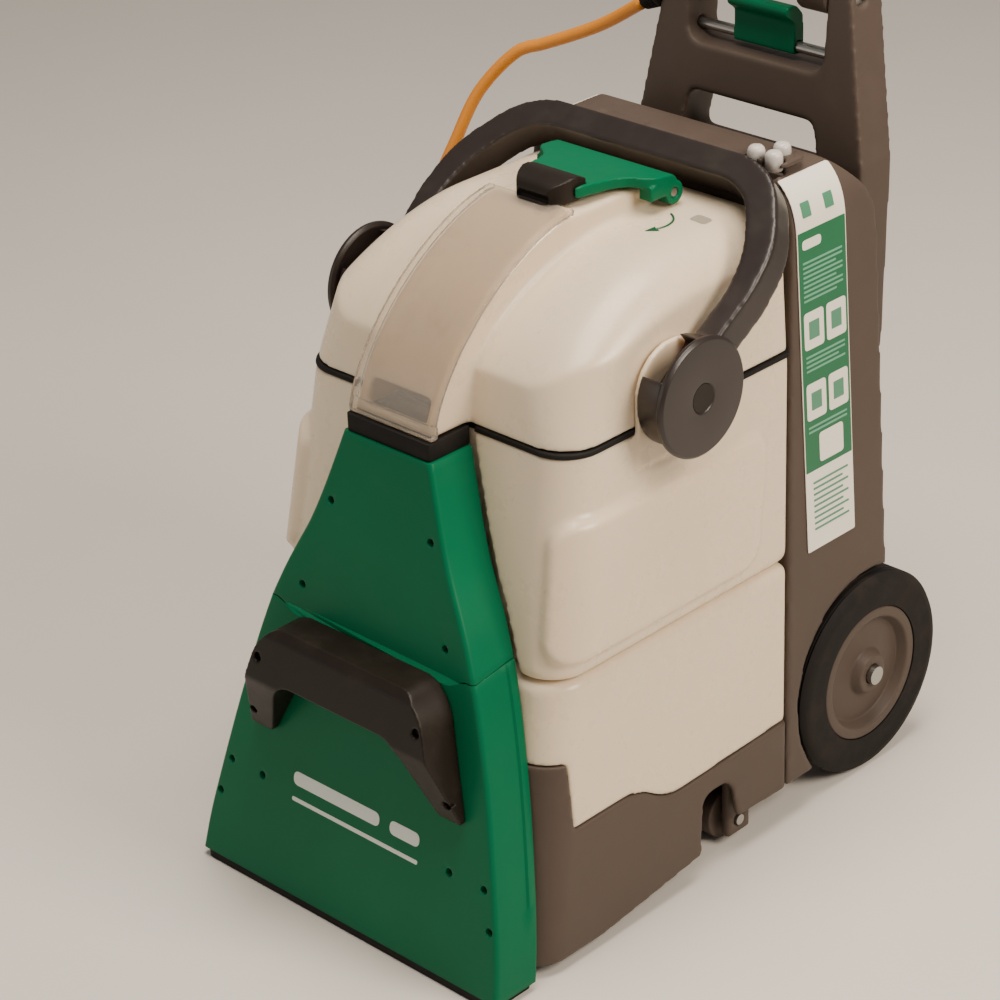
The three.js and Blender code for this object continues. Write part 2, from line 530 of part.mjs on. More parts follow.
function addUpperHandle() {
  const { y, z } = FOLD;
  const shaft = handleShape(mirrored([[78, z + 28, 8], [52, z + 190, 30], [24, z + 300, 40],
    [24, z + 400, 30], [50, z + 440, 24], [50, GRIP_TOP, 26]]), y - 14, y + 12, { bevel: 4 });
  const light = handleShape(mirrored([[58, z + 50, 12], [36, z + 190, 12]]), y - 40, y + 40);
  const loop = handleShape(mirrored([[32, z + 444, 12], [32, GRIP_TOP - 28, 12]]), y - 40, y + 40);
  const necks = [-1, 1].map((s) => union(
    rod('x', 15, Math.min(s * 34, s * 60.5), Math.max(s * 34, s * 60.5), y, z, 28),
    box(Math.min(s * 34, s * 60.5), Math.max(s * 34, s * 60.5), y - 11, y + 11, z, z + 36),
  ));
  const grip = box(-33, 33, 400, 600, GRIP_TOP - 32, GRIP_TOP + 10);
  const bores = union(rod('x', 5.4, -100, 100, y, z, 20), rod('x', 3.4, -42, 42, TRIGGER.y, TRIGGER.z, 16));
  add('upper_handle', cut(union(shaft, ...necks), light, loop, bores, grip), 'grey');
  const middle = y + LEAN * (GRIP_TOP - 14 - z) - 1;
  const round = outline([[middle - 15, GRIP_TOP - 29, 12], [middle + 15, GRIP_TOP - 29, 12],
    [middle + 15, GRIP_TOP, 12], [middle - 15, GRIP_TOP, 12]]);
  add('handle_grip', slab('x', round, -33 + GAP, 33 - GAP, { curves: 6 }), 'black');
  const blade = outline([[TRIGGER.y + 6, TRIGGER.z - 5, 4], [TRIGGER.y + 6, TRIGGER.z + 5, 4],
    [TRIGGER.y - 20, TRIGGER.z + 5, 4], [TRIGGER.y - 34, TRIGGER.z - 2, 3],
    [TRIGGER.y - 36, TRIGGER.z - 8, 3], [TRIGGER.y - 20, TRIGGER.z - 3, 4]]);
  const pivot = rod('x', 3, -40, 40, TRIGGER.y, TRIGGER.z, 16);
  add('spray_trigger', union(slab('x', blade, -24, 24), pivot), 'green');
}

function addHook() {
  const upper = handleShape([[-8, 800, 6], [8, 800, 6], [8, 872, 6], [-8, 872, 6]], FOLD.y + 24, FOLD.y + 29);
  const lip = handleShape([[-8, 800, 6], [8, 800, 6], [8, 812, 4], [-8, 812, 4]], FOLD.y + 28, FOLD.y + 42);
  const foot = [[-8, 856, 6], [8, 856, 6], [8, 872, 6], [-8, 872, 6]];
  const boss = handleShape(foot, FOLD.y + 12 + GAP, FOLD.y + 25);
  add('cord_hook_upper', union(upper, lip, boss), 'dark');
}

// ---- mains cord: strain relief, free run, coil of the stored length, plug ----
const ROUTE = [
  [-105.7, 441, 525.6], [-149, 440, 499], [-200, 430, 476], [-216, 425, 470], [-245, 410, 436],
  [-258, 395, 397], [-267, 385, 366], [-272, 380, 330], [-275, 378, 250], [-276, 380, 150],
  [-276, 384, 75], [-277, 398, 30], [-277, 425, 9.5], [-276, 458, 5.4], [-271, 500, 5.3],
  [-264.5, 532, 5.3], [-260.4, 558, 5.3],
];

function addCord() {
  const exit = new THREE.Vector3(...ROUTE[0]);
  const out = new THREE.Vector3(...ROUTE[1]).sub(exit).normalize();
  const side = new THREE.Quaternion().setFromUnitVectors(new THREE.Vector3(0, 1, 0), out);
  const cone = new THREE.LatheGeometry([[0, -26], [9.5, -26], [9.5, -16], [6.2, -GAP], [0, -GAP]]
    .map(([r, h]) => new THREE.Vector2(r, h)), 20);
  const relief = solid(cone.applyQuaternion(side).translate(exit.x, exit.y, exit.z));
  const beside = frameShape(mirrored([[101.5 + GAP, 450], [82 + GAP, 558], [60, 640]]), 80);
  add('strain_relief', cut(relief, beside.translate(0, -20, 0)), 'black');
  const path = new THREE.CatmullRomCurve3(ROUTE.map((p) => new THREE.Vector3(...p)));
  const ring = new THREE.Shape().absarc(0, 0, CORD_R, 0, 2 * Math.PI);
  const tube = new THREE.ExtrudeGeometry(ring, {
    extrudePath: path, steps: 48, curveSegments: 4, bevelEnabled: false,
  });
  add('power_cord', solid(tube), 'cord');
  const width = COIL.turns * 2 * CORD_R;
  const [small, large] = [COIL.r - width / 2, COIL.r + width / 2];
  const profile = [[small, 0.2], [large, 0.2], [large, width], [small, width], [small, 0.2]];
  add('cord_coil', turnedZ(profile, COIL.x, COIL.y, 40), 'cord');
  const plug = [[0, 0], [CORD_R + 1, 0], [9, 10], [15, 16], [16, 40], [0, 40]];
  const pins = [[-6.3, 4], [6.3, 4], [0, -5]].map(([a, b]) => rod('y', 2.2, 39, 56, a, b, 10));
  const lathe = new THREE.LatheGeometry(plug.map(([r, h]) => new THREE.Vector2(r, h)), 20);
  const shape = geometryOf(union(solid(lathe), ...pins));
  shape.rotateZ(THREE.MathUtils.degToRad(PLUG_TURN)).translate(COIL.x + 20, COIL.y - 64, width + 16.6);
  add('power_plug', solid(shape), 'black');
}

addNozzle();
addFrontHandle();
addBrush();
addBase();
addCasing();
addTank();
addLid();
addLatch();
addArch();
addHousing();
addSwitches();
addLabels();
addMotor();
addWheels();
addFrame();
addUpperHandle();
addHook();
addCord();

// the origin: middle of the footprint, on the floor, measured without the cord
const CORD_NODES = ['strain_relief', 'power_cord', 'cord_coil', 'power_plug'];
const extent = new THREE.Box3();
machine.children.filter((m) => !CORD_NODES.includes(m.name)).forEach((m) => extent.expandByObject(m));
machine.position.y = -(extent.min.y + extent.max.y) / 2;

export default machine;
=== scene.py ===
import math
import bpy
import bmesh
from mathutils import Matrix, Vector, noise


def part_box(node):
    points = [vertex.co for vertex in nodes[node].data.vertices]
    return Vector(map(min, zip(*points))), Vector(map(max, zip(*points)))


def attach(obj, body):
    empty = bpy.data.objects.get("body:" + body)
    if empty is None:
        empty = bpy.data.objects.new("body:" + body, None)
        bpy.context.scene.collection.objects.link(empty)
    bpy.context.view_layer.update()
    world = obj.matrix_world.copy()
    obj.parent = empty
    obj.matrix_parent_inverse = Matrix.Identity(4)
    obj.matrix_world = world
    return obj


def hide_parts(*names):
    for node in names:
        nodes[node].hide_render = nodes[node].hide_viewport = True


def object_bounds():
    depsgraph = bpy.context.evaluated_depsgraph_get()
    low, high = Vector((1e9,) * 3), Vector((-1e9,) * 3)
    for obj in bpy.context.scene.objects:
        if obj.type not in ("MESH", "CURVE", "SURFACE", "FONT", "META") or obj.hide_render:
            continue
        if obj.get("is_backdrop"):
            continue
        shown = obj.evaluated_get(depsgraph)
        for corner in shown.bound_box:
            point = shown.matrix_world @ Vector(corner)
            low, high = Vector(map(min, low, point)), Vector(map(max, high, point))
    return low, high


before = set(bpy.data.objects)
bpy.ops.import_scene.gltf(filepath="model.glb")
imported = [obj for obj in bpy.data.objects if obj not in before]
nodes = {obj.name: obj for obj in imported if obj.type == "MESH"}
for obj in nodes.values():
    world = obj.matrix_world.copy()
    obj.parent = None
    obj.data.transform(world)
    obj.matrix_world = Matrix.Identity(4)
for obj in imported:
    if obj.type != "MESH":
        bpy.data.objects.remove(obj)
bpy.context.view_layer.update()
scene = bpy.context.scene

# ---- frame: sizes below are in millimetres, y from the nozzle's foot ----
MM = 0.001
LIP_SET_BACK = 1.5
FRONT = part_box("suction_lip")[0].y - LIP_SET_BACK * MM


def at(x, y, z):
    return Vector((x * MM, FRONT + y * MM, z * MM))


# ---- camera ----
CAMERA_AT = (1303.4, -1145.2, 1220.3)
AZIMUTH, ELEVATION, ROLL = (math.radians(a) for a in (44.775, 27.291, -2.106))
LENS = 110.36

back = Vector((math.sin(AZIMUTH) * math.cos(ELEVATION), -math.cos(AZIMUTH) * math.cos(ELEVATION),
               math.sin(ELEVATION)))
level = Vector((math.cos(AZIMUTH), math.sin(AZIMUTH), 0))
lift = back.cross(level)
right = math.cos(ROLL) * level + math.sin(ROLL) * lift
up = -math.sin(ROLL) * level + math.cos(ROLL) * lift
camera_data = bpy.data.cameras.new("camera")
camera_data.lens = LENS
camera_data.sensor_width = 36
camera_data.clip_start = 0.05
camera_data.clip_end = 40
camera = bpy.data.objects.new("camera", camera_data)
scene.collection.objects.link(camera)
turn = Matrix((right, up, back)).transposed().to_4x4()
camera.matrix_world = Matrix.Translation(at(*CAMERA_AT)) @ turn
scene.camera = camera


# ---- materials ----
def texture(tree, where, scale, detail=3.0, roughness=0.5):
    n = tree.nodes.new("ShaderNodeTexNoise")
    n.inputs["Scale"].default_value = scale
    n.inputs["Detail"].default_value = detail
    n.inputs["Roughness"].default_value = roughness
    tree.links.new(where.outputs["Object"], n.inputs["Vector"])
    return n.outputs["Fac"]


def ranged(tree, value, low, high, start=0.3, end=0.7):
    n = tree.nodes.new("ShaderNodeMapRange")
    n.inputs["From Min"].default_value = start
    n.inputs["From Max"].default_value = end
    n.inputs["To Min"].default_value = low
    n.inputs["To Max"].default_value = high
    tree.links.new(value, n.inputs["Value"])
    return n.outputs["Result"]


def mixed(tree, factor, a, b, blend="MIX"):
    n = tree.nodes.new("ShaderNodeMix")
    n.data_type = "RGBA"
    n.blend_type = blend
    tree.links.new(factor, n.inputs[0])
    for socket, value in ((n.inputs[6], a), (n.inputs[7], b)):
        if isinstance(value, bpy.types.NodeSocket):
            tree.links.new(value, socket)
        else:
            socket.default_value = value
    return n.outputs[2]


def linear(rgb):
    return tuple(((c / 255 + 0.055) / 1.055) ** 2.4 if c > 10 else c / 255 / 12.92 for c in rgb) + (1.0,)


def shade(colour, gain):
    return tuple(min(1.0, c * gain) for c in colour[:3]) + (1.0,)


def material(name, rgb, rough=(0.35, 0.5), grain=0.06, grain_scale=1400, mottle=0.08, dust=0.0, **sockets):
    m = bpy.data.materials.new(name)
    m.use_nodes = True
    tree = m.node_tree
    shader = tree.nodes["Principled BSDF"]
    where = tree.nodes.new("ShaderNodeTexCoord")
    colour = linear(rgb)
    broad = texture(tree, where, 7.0, 4.0)
    fine = texture(tree, where, grain_scale, 2.0)
    smears = texture(tree, where, 34.0, 6.0, 0.65)
    base = mixed(tree, ranged(tree, broad, 0.0, 1.0), shade(colour, 1 - mottle), shade(colour, 1 + mottle))
    if dust:
        base = mixed(tree, ranged(tree, smears, 0.0, dust, 0.5, 0.8), base, linear((150, 132, 112)))
    tree.links.new(base, shader.inputs["Base Color"])
    tree.links.new(ranged(tree, smears, *rough), shader.inputs["Roughness"])
    bump = tree.nodes.new("ShaderNodeBump")
    bump.inputs["Strength"].default_value = grain
    bump.inputs["Distance"].default_value = 0.0004
    tree.links.new(fine, bump.inputs["Height"])
    tree.links.new(bump.outputs["Normal"], shader.inputs["Normal"])
    for socket, value in sockets.items():
        shader.inputs[socket.replace("_", " ")].default_value = value
    return m


DULL = {"Specular_IOR_Level": 0.22}
IVORY_SKIN = {"Subsurface_Weight": 0.35, "Subsurface_Radius": (0.012, 0.008, 0.005), "Subsurface_Scale": 1.0}
MATERIALS = {
    "green_plastic": material("green_plastic", (0, 94, 62), (0.32, 0.44), 0.08, 1500, 0.06, 0.01,
                              Specular_IOR_Level=0.12),
    "ivory_plastic": material("ivory_plastic", (224, 204, 178), (0.24, 0.34), 0.03, 900, 0.02, 0.015,
                              **IVORY_SKIN),
    "grey_plastic": material("grey_plastic", (76, 65, 58), (0.42, 0.58), 0.16, 1300, 0.06, 0.04, **DULL),
    "dark_plastic": material("dark_plastic", (27, 21, 17), (0.34, 0.5), 0.14, 1300, 0.12, 0.03, **DULL),
    "arch_plastic": material("arch_plastic", (36, 28, 26), (0.3, 0.42), 0.10, 1300, 0.06, 0.02),
    "black_rubber": material("black_rubber", (18, 16, 15), (0.6, 0.8), 0.2, 1100, 0.15, 0.04, **DULL),
    "tyre_rubber": material("tyre_rubber", (24, 21, 20), (0.65, 0.85), 0.3, 900, 0.12, 0.06, **DULL),
    "clear_plastic": material("clear_plastic", (236, 226, 212), (0.08, 0.16), 0.02, 500, 0.02, 0.0,
                              Transmission_Weight=0.86, IOR=1.3),
    "steel": material("steel", (170, 168, 164), (0.25, 0.42), 0.08, 700, 0.06, 0.0, Metallic=1.0),
    "cord_jacket": material("cord_jacket", (214, 132, 26), (0.38, 0.52), 0.12, 1200, 0.06, 0.03),
    "label_print": material("label_print", (232, 226, 212), (0.3, 0.42), 0.02, 900, 0.02, 0.04),
    "bristle": material("bristle", (24, 92, 66), (0.5, 0.7), 0.6, 1800, 0.2, 0.1),
}


FINISHES = {
    "boot": material("switch_boot", (196, 190, 184), (0.25, 0.35), 0.03, 900, 0.05, 0.0,
                     Subsurface_Weight=0.4, Subsurface_Radius=(0.004, 0.003, 0.003), Subsurface_Scale=1.0),
    "bag": material("bag_film", (214, 214, 206), (0.2, 0.34), 0.12, 90, 0.05, 0.0,
                    Transmission_Weight=0.35, IOR=1.3),
    "mark": material("printed_mark", (206, 212, 206), (0.3, 0.4), 0.03, 900, 0.03, 0.03),
    "mark_grey": material("printed_grey", (150, 142, 128), (0.3, 0.4), 0.03, 900, 0.03, 0.0),
    "mark_green": material("printed_green", (20, 78, 52), (0.3, 0.4), 0.03, 900, 0.03, 0.0),
}


# ---- solids ----
def mesh(name, vertices, faces):
    data = bpy.data.meshes.new(name)
    data.from_pydata([at(*v) for v in vertices], [], faces)
    b = bmesh.new()
    b.from_mesh(data)
    bmesh.ops.recalc_face_normals(b, faces=b.faces)
    b.to_mesh(data)
    b.free()
    obj = bpy.data.objects.new(name, data)
    scene.collection.objects.link(obj)
    return obj


def loft(name, rings, looped=False):
    count = len(rings[0])
    vertices = [p for ring in rings for p in ring]
    faces = []
    spans = len(rings) if looped else len(rings) - 1
    for i in range(spans):
        a, b = i * count, ((i + 1) % len(rings)) * count
        faces += [(a + j, a + (j + 1) % count, b + (j + 1) % count, b + j) for j in range(count)]
    if not looped:
        faces += [tuple(range(count)), tuple(range((len(rings) - 1) * count, len(rings) * count))]
    return mesh(name, vertices, faces)


def outline(points, curves=8):
    result = []
    places = [Vector(p[:2]) for p in points]
    for i, p in enumerate(points):
        here, last, following = places[i], places[i - 1], places[(i + 1) % len(places)]
        radius = p[2] if len(p) > 2 else 0
        reach = min(radius, (here - last).length / 2.01, (here - following).length / 2.01)
        if reach < 0.01:
            result.append(tuple(here))
            continue
        start = here + (last - here).normalized() * reach
        end = here + (following - here).normalized() * reach
        for k in range(curves + 1):
            t = k / curves
            result.append(tuple(start * (1 - t) ** 2 + here * 2 * t * (1 - t) + end * t * t))
    return result


def mirrored(points):
    return list(points) + [(-p[0], *p[1:]) for p in reversed(points)]


def dense(points, step):
    result = []
    for i, p in enumerate(points):
        a, b = Vector(p), Vector(points[(i + 1) % len(points)])
        n = max(1, int((b - a).length / step))
        result += [tuple(a.lerp(b, k / n)) for k in range(n)]
    return result


PLACE = {"x": lambda a, b, d: (d, a, b), "y": lambda a, b, d: (a, d, b), "z": lambda a, b, d: (a, b, d)}


def prism(axis, points, low, high, move=None):
    rings = [[PLACE[axis](a, b, d) for a, b in points] for d in (low, high)]
    if move:
        rings = [[move(*p) for p in ring] for ring in rings]
    return loft("tool", rings)


def box(x0, x1, y0, y1, z0, z1):
    return prism("z", [(x0, y0), (x1, y0), (x1, y1), (x0, y1)], z0, z1)


def angles(sides):
    return [2 * math.pi * i / sides for i in range(sides)]


def circle(r, a, b, sides=64):
    return [(a + r * math.cos(t), b + r * math.sin(t)) for t in angles(sides)]


def rod(axis, r, low, high, a, b, sides=64):
    return prism(axis, circle(r, a, b, sides), low, high)


def rounded(profile, radius, curves=4):
    return outline([(*p[:2], p[2] if len(p) > 2 else radius) for p in profile], curves)


def turned(name, profile, y, z, sides=96):
    rings = []
    for r, x in profile:
        rings.append([(x, y + r * math.cos(t), z + r * math.sin(t)) for t in angles(sides)])
    return loft(name, rings, looped=True)


def bake(obj):
    graph = bpy.context.evaluated_depsgraph_get()
    data = bpy.data.meshes.new_from_object(obj.evaluated_get(graph))
    obj.modifiers.clear()
    old = obj.data
    obj.data = data
    bpy.data.meshes.remove(old)
    return obj


def combine(obj, tools, operation):
    for tool in tools:
        m = obj.modifiers.new("boolean", "BOOLEAN")
        m.operation = operation
        m.solver = "MANIFOLD"
        m.object = tool
    bake(obj)
    for tool in tools:
        bpy.data.objects.remove(tool)
    return obj


def union(obj, *tools):
    return combine(obj, tools, "UNION")


def cut(obj, *tools):
    return combine(obj, tools, "DIFFERENCE")


def common(obj, *tools):
    return combine(obj, tools, "INTERSECT")


def mould(obj, voxel=1.6, rounds=6):
    m = obj.modifiers.new("remesh", "REMESH")
    m.mode = "VOXEL"
    m.voxel_size = voxel * MM
    if rounds:
        s = obj.modifiers.new("smooth", "SMOOTH")
        s.factor = 0.5
        s.iterations = rounds
    bake(obj)
    obj.data.shade_smooth()
    return obj


def crisp(obj, width=0.8, segments=3, angle=35):
    m = obj.modifiers.new("bevel", "BEVEL")
    m.width = width * MM
    m.segments = segments
    m.limit_method = "ANGLE"
    m.angle_limit = math.radians(angle)
    m.harden_normals = False
    bake(obj)
    smooth(obj, 40)
    return obj


def smooth(obj, sharp_from=None):
    obj.data.shade_smooth()
    if sharp_from:
        obj.data.set_sharp_from_angle(angle=math.radians(sharp_from))


def piece(obj, name, body, slot, replaced=(), finish=None):
    obj.name = name
    obj.data.name = name
    obj.data.materials.clear()
    obj.data.materials.append(finish or MATERIALS[slot])
    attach(obj, body)
    for node in [replaced] if isinstance(replaced, str) else replaced:
        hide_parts(node)
    return obj


def mirror(obj):
    obj.data.transform(Matrix.Scale(-1, 4, Vector((1, 0, 0))))
    obj.data.flip_normals()
    return obj


def smoothstep(v, low, high):
    t = min(1.0, max(0.0, (v - low) / (high - low)))
    return t * t * (3 - 2 * t)


CORD_R = 4.75
ROUTE = [(-105.7, 441, 525.6), (-149, 440, 499), (-200, 430, 476), (-216, 425, 470), (-245, 410, 436),
         (-258, 395, 397), (-267, 385, 366), (-272, 380, 330), (-275, 378, 250), (-276, 380, 150),
         (-276, 384, 75), (-277, 398, 30), (-277, 425, 9.5), (-276, 458, 5.4), (-271, 500, 5.3),
         (-264.5, 532, 5.3), (-260.4, 558, 5.3)]
COIL_AT = (-170, 560)
COIL_RADII = (83.7, 74.0, 64.3, 54.6)
COIL_LAYERS, COIL_FLOOR, COIL_RISE = 4, 4.95, 9.6
PLUG_AT, PLUG_TURN = (-150, 496, 54.6), math.radians(70)


def hermite(p1, p2, m1, m2, t):
    return (2 * p1 - 2 * p2 + m1 + m2) * t ** 3 + (-3 * p1 + 3 * p2 - 2 * m1 - m2) * t * t + m1 * t + p1


def centripetal(points, step):
    """Points step apart or closer on a centripetal Catmull-Rom curve."""
    places = [Vector(p) for p in points]
    places = [2 * places[0] - places[1], *places, 2 * places[-1] - places[-2]]
    result = []
    for p0, p1, p2, p3 in zip(places, places[1:], places[2:], places[3:]):
        d0, d1, d2 = ((b - a).length ** 0.5 for a, b in ((p0, p1), (p1, p2), (p2, p3)))
        m1 = ((p1 - p0) / d0 - (p2 - p0) / (d0 + d1) + (p2 - p1) / d1) * d1
        m2 = ((p2 - p1) / d1 - (p3 - p1) / (d1 + d2) + (p3 - p2) / d2) * d1
        count = max(1, int((p2 - p1).length / step))
        result += [hermite(p1, p2, m1, m2, k / count) for k in range(count)]
    return result + [places[-2]]


def coil_line(step_degrees=4):
    """Rings side by side in layers: the cord moves over at the end of a ring, and climbs just before that."""
    order = []
    for layer in range(COIL_LAYERS):
        radii = COIL_RADII if layer % 2 == 0 else tuple(reversed(COIL_RADII))
        order += [(r, COIL_FLOOR + layer * COIL_RISE) for r in radii]
    start = math.atan2(ROUTE[-1][1] - COIL_AT[1], ROUTE[-1][0] - COIL_AT[0])
    entry = math.hypot(ROUTE[-1][1] - COIL_AT[1], ROUTE[-1][0] - COIL_AT[0])
    result = []
    for i, (r, z) in enumerate(order):
        following, above = order[i + 1] if i + 1 < len(order) else (r, z)
        stop = 172 if i == len(order) - 1 else 360
        for a in range(step_degrees if i == 0 else 0, stop, step_degrees):
            radius = r + (following - r) * smoothstep(a, 315, 360)
            height = z + (above - z) * smoothstep(a, 262, 315)
            if i == 0:
                radius += (entry - r) * (1 - smoothstep(a, 0, 70))
                height += (ROUTE[-1][2] - z) * (1 - smoothstep(a, 0, 70))
            t = start - math.radians(a)
            x, y = COIL_AT[0] + radius * math.cos(t), COIL_AT[1] + radius * math.sin(t)
            result.append(Vector((x, y, height)))
    return result


def bridge(line, end, heading, pull=46, count=22):
    """A curve from the end of a line to a point, arriving along heading."""
    a, d = line[-1], end
    b = a + (line[-1] - line[-2]).normalized() * pull
    c = d - heading * pull
    return [a * (1 - t) ** 3 + b * 3 * t * (1 - t) ** 2 + c * 3 * t * t * (1 - t) + d * t ** 3
            for t in (k / count for k in range(1, count + 1))]


def tube(name, line, radius, sides=14):
    rings = []
    normal = Vector((0, 0, 1))
    for i, p in enumerate(line):
        along = (line[min(i + 1, len(line) - 1)] - line[max(i - 1, 0)]).normalized()
        normal = (normal - along * normal.dot(along)).normalized()
        across = along.cross(normal)
        rings.append([tuple(p + (normal * math.cos(t) + across * math.sin(t)) * radius)
                      for t in angles(sides)])
    return loft(name, rings)


def lathe_along(profile, start, heading, sides=48):
    """A closed profile of (radius, distance along heading), turned about a line through start."""
    across = heading.cross(Vector((0, 0, 1))).normalized()
    other = heading.cross(across)
    return loft("lathe", [[tuple(start + heading * h + (across * math.cos(t) + other * math.sin(t)) * r)
                           for t in angles(sides)] for r, h in profile])


SIDES = {"right": 1, "left": -1}
span = lambda s, a, b: sorted((s * a, s * b))

# ---- shared surfaces of the machine's body ----
RIM_Z = 356
DUCT_DEPTH = 38
GAP = 0.4
LID_REAR = 326
HOUSING_TOP = 479
HOUSING_REAR = 424
CASING_TOP = 203.8
BASE_TOP = 148
WALL = 4


def half_width(z):
    return 124 + 0.06 * (RIM_Z - z)


def face_y(z):
    return 0.208 * z - 0.000052 * z * z


def body_front(z):
    return face_y(z) + DUCT_DEPTH + GAP


def body_rear(z):
    return 301 + 0.073 * z


def casing_rear(z):
    return body_rear(z) - GAP


def body_block(z0, z1, inset=0.0, rear=body_rear, round_low=0.0, round_top=0.0, step=6.0):
    """The body's drafted block, with its lower and upper edges rounded."""
    count = max(2, int((z1 - z0) / step))
    heights = [z0 + (z1 - z0) * i / count for i in range(count + 1)]
    heights += [z0 + round_low * k / 5 for k in range(6)] + [z1 - round_top * k / 5 for k in range(6)]
    heights = sorted(set(round(h, 3) for h in heights))
    rings = []
    for z in heights:
        e = inset
        for edge, r in ((z - z0, round_low), (z1 - z, round_top)):
            if r and edge < r:
                e += r - math.sqrt(max(0.0, r * r - (r - edge) ** 2))
        rings.append(ring_of(z, e, rear))
    return loft("block", rings)


def ring_of(z, inset, rear, corner=28):
    """A ring with the same number of points at every height."""
    corner += 0.4 * max(0.0, z - RIM_Z)
    front, end = body_front(z) + inset, rear(z) - inset
    half = half_width(z) - inset
    r = max(5.0, corner - 0.5 * inset)
    points = []
    corners = ((half, front, r, -90), (half, end, 6, 0), (-half, end, 6, 90), (-half, front, r, 180))
    for cx, cy, radius, start in corners:
        sx, sy = (1 if cx > 0 else -1), (1 if cy == front else -1)
        for k in range(13):
            t = math.radians(start + 90 * k / 12)
            x, y = cx - sx * radius + radius * math.cos(t), cy + sy * radius + radius * math.sin(t)
            points.append((x, y, z))
    return points


# ---- mains cord: free run, coil of the stored length, plug ----
FRAME_LEAN = 0.1


def frame_shape(points, depth=34, shift=0):
    return prism("y", outline(points), 0, depth,
                 lambda x, y, z: (x, y + 429 + shift + FRAME_LEAN * (z - 450), z))


plug_heading = Vector((-math.sin(PLUG_TURN), math.cos(PLUG_TURN), 0))
line = centripetal(ROUTE, 6) + coil_line()
line += bridge(line, Vector(PLUG_AT), plug_heading)
cord = tube("mains_cord", line, CORD_R)
smooth(cord)
piece(cord, "mains_cord", "root", "cord_jacket", ("power_cord", "cord_coil"))

exit_at = Vector(ROUTE[0])
leaving = (Vector(ROUTE[1]) - exit_at).normalized()
profile = [(0.1, -26), (9.5, -26), (9.8, -24), (9.8, -17.5)]
for k in range(6):
    h, r = -16.5 + 2.7 * k, 9.3 - 0.55 * k
    profile += [(r, h), (r, h + 1.2), (r - 0.9, h + 1.5), (r - 0.9, h + 2.4)]
relief = lathe_along(profile + [(5.6, -0.4), (0.1, -0.4)], exit_at, leaving)
relief = cut(relief, frame_shape(mirrored([(101.9, 450), (82.4, 558), (60, 640)]), 80, -20))
smooth(relief, 35)
piece(relief, "cord_strain_relief", "root", "black_rubber", "strain_relief")

profile = [(0.1, -1), (CORD_R + 1, -1)]
for k in range(4):
    profile += [(5.9 + 0.8 * k, 2 + 2.6 * k), (5.9 + 0.8 * k, 3.6 + 2.6 * k), (5.1 + 0.8 * k, 3.9 + 2.6 * k)]
profile += [(9.6, 13), (13.8, 16), (15.2, 18.6), (15.4, 22), (14.6, 26), (14.8, 30), (15.8, 34), (16, 38.4),
            (15.4, 40), (0.1, 40)]
plug = lathe_along(profile, Vector(PLUG_AT), plug_heading)
smooth(plug, 40)
piece(plug, "mains_plug", "root", "black_rubber", "power_plug")
beside = Vector((math.cos(PLUG_TURN), math.sin(PLUG_TURN), 0))
blades = None
for a, b in ((-6.3, 4), (6.3, 4), (0, -5)):
    foot = Vector(PLUG_AT) + beside * a + Vector((0, 0, b))
    blade = lathe_along([(0.1, 39), (2.2, 39), (2.2, 54.6), (1.4, 56), (0.1, 56)], foot, plug_heading, 20)
    blades = union(blades, blade) if blades else blade
smooth(blades, 40)
piece(blades, "mains_plug_pins", "root", "steel")

# ---- nozzle ----
NOZZLE_EDGE = [(145, 6), (138.5, 50), (115.5, 150), (89.5, 225), (61, 287), (38, 352)]


def catmull(points, count):
    places = [Vector(p) for p in points]
    result = []
    spans = len(places) - 1
    for k in range(count + 1):
        u = spans * k / count
        i = min(spans - 1, int(u))
        t = u - i
        p1, p2 = places[i], places[i + 1]
        p0 = places[i - 1] if i else p1
        p3 = places[i + 2] if i + 2 <= spans else p2
        v0, v1 = (p2 - p0) * 0.5, (p3 - p1) * 0.5
        result.append(hermite(p1, p2, v0, v1, t))
    return result


NOZZLE_CURVE = catmull(NOZZLE_EDGE, 120)


def nozzle_half(z):
    for a, b in zip(NOZZLE_CURVE, NOZZLE_CURVE[1:]):
        if a[1] <= z <= b[1]:
            return a[0] + (b[0] - a[0]) * (z - a[1]) / (b[1] - a[1])
    return NOZZLE_CURVE[0][0] if z < NOZZLE_CURVE[0][1] else NOZZLE_CURVE[-1][0]


SPLIT = 208


def split_height(x, y, z):
    half = nozzle_half(z)
    return 205 + 8 * smoothstep(abs(x), half - 26, half - 6) + 5 * smoothstep(y - face_y(z), 2, 38)


def nozzle_ring(z, flange=0.0, radius=3.5):
    half, f = nozzle_half(z), face_y(z)
    ring = [(-half + radius + (2 * half - 2 * radius) * i / 40, f) for i in range(41)]
    for k in range(1, 8):
        t = math.radians(-90 + 90 * k / 8)
        ring.append((half - radius + radius * math.cos(t), f + radius + radius * math.sin(t)))
    side = [(half, f + radius), (half, f + 14), (half, f + 24), (half, f + 29.6), (half + flange, f + 31),
            (half + flange, f + 36.5), (half + flange * 0.4, f + DUCT_DEPTH)]
    ring += side
    left = [(-x, y) for x, y in ring[41:]]
    ring += list(reversed(left))
    return [(x, y, z) for x, y in ring]


def nozzle_part(z0, z1, flange, warp_from):
    count = int((z1 - z0) / 5)
    rings = []
    for i in range(count + 1):
        z = z0 + (z1 - z0) * i / count
        ends = smoothstep(min(z - z0, z1 - z), 0, 1.2)
        ring = nozzle_ring(z, flange * smoothstep(z, 40, 60) if z < SPLIT else flange)
        beyond = (z - warp_from) * (SPLIT - warp_from) > 0
        share = abs(z - warp_from) / abs(SPLIT - warp_from) if beyond else 0
        ring = [(x, y, h + share * (split_height(x, y, h) - SPLIT)) for x, y, h in ring]
        rings.append(ring)
    return loft("nozzle", rings)


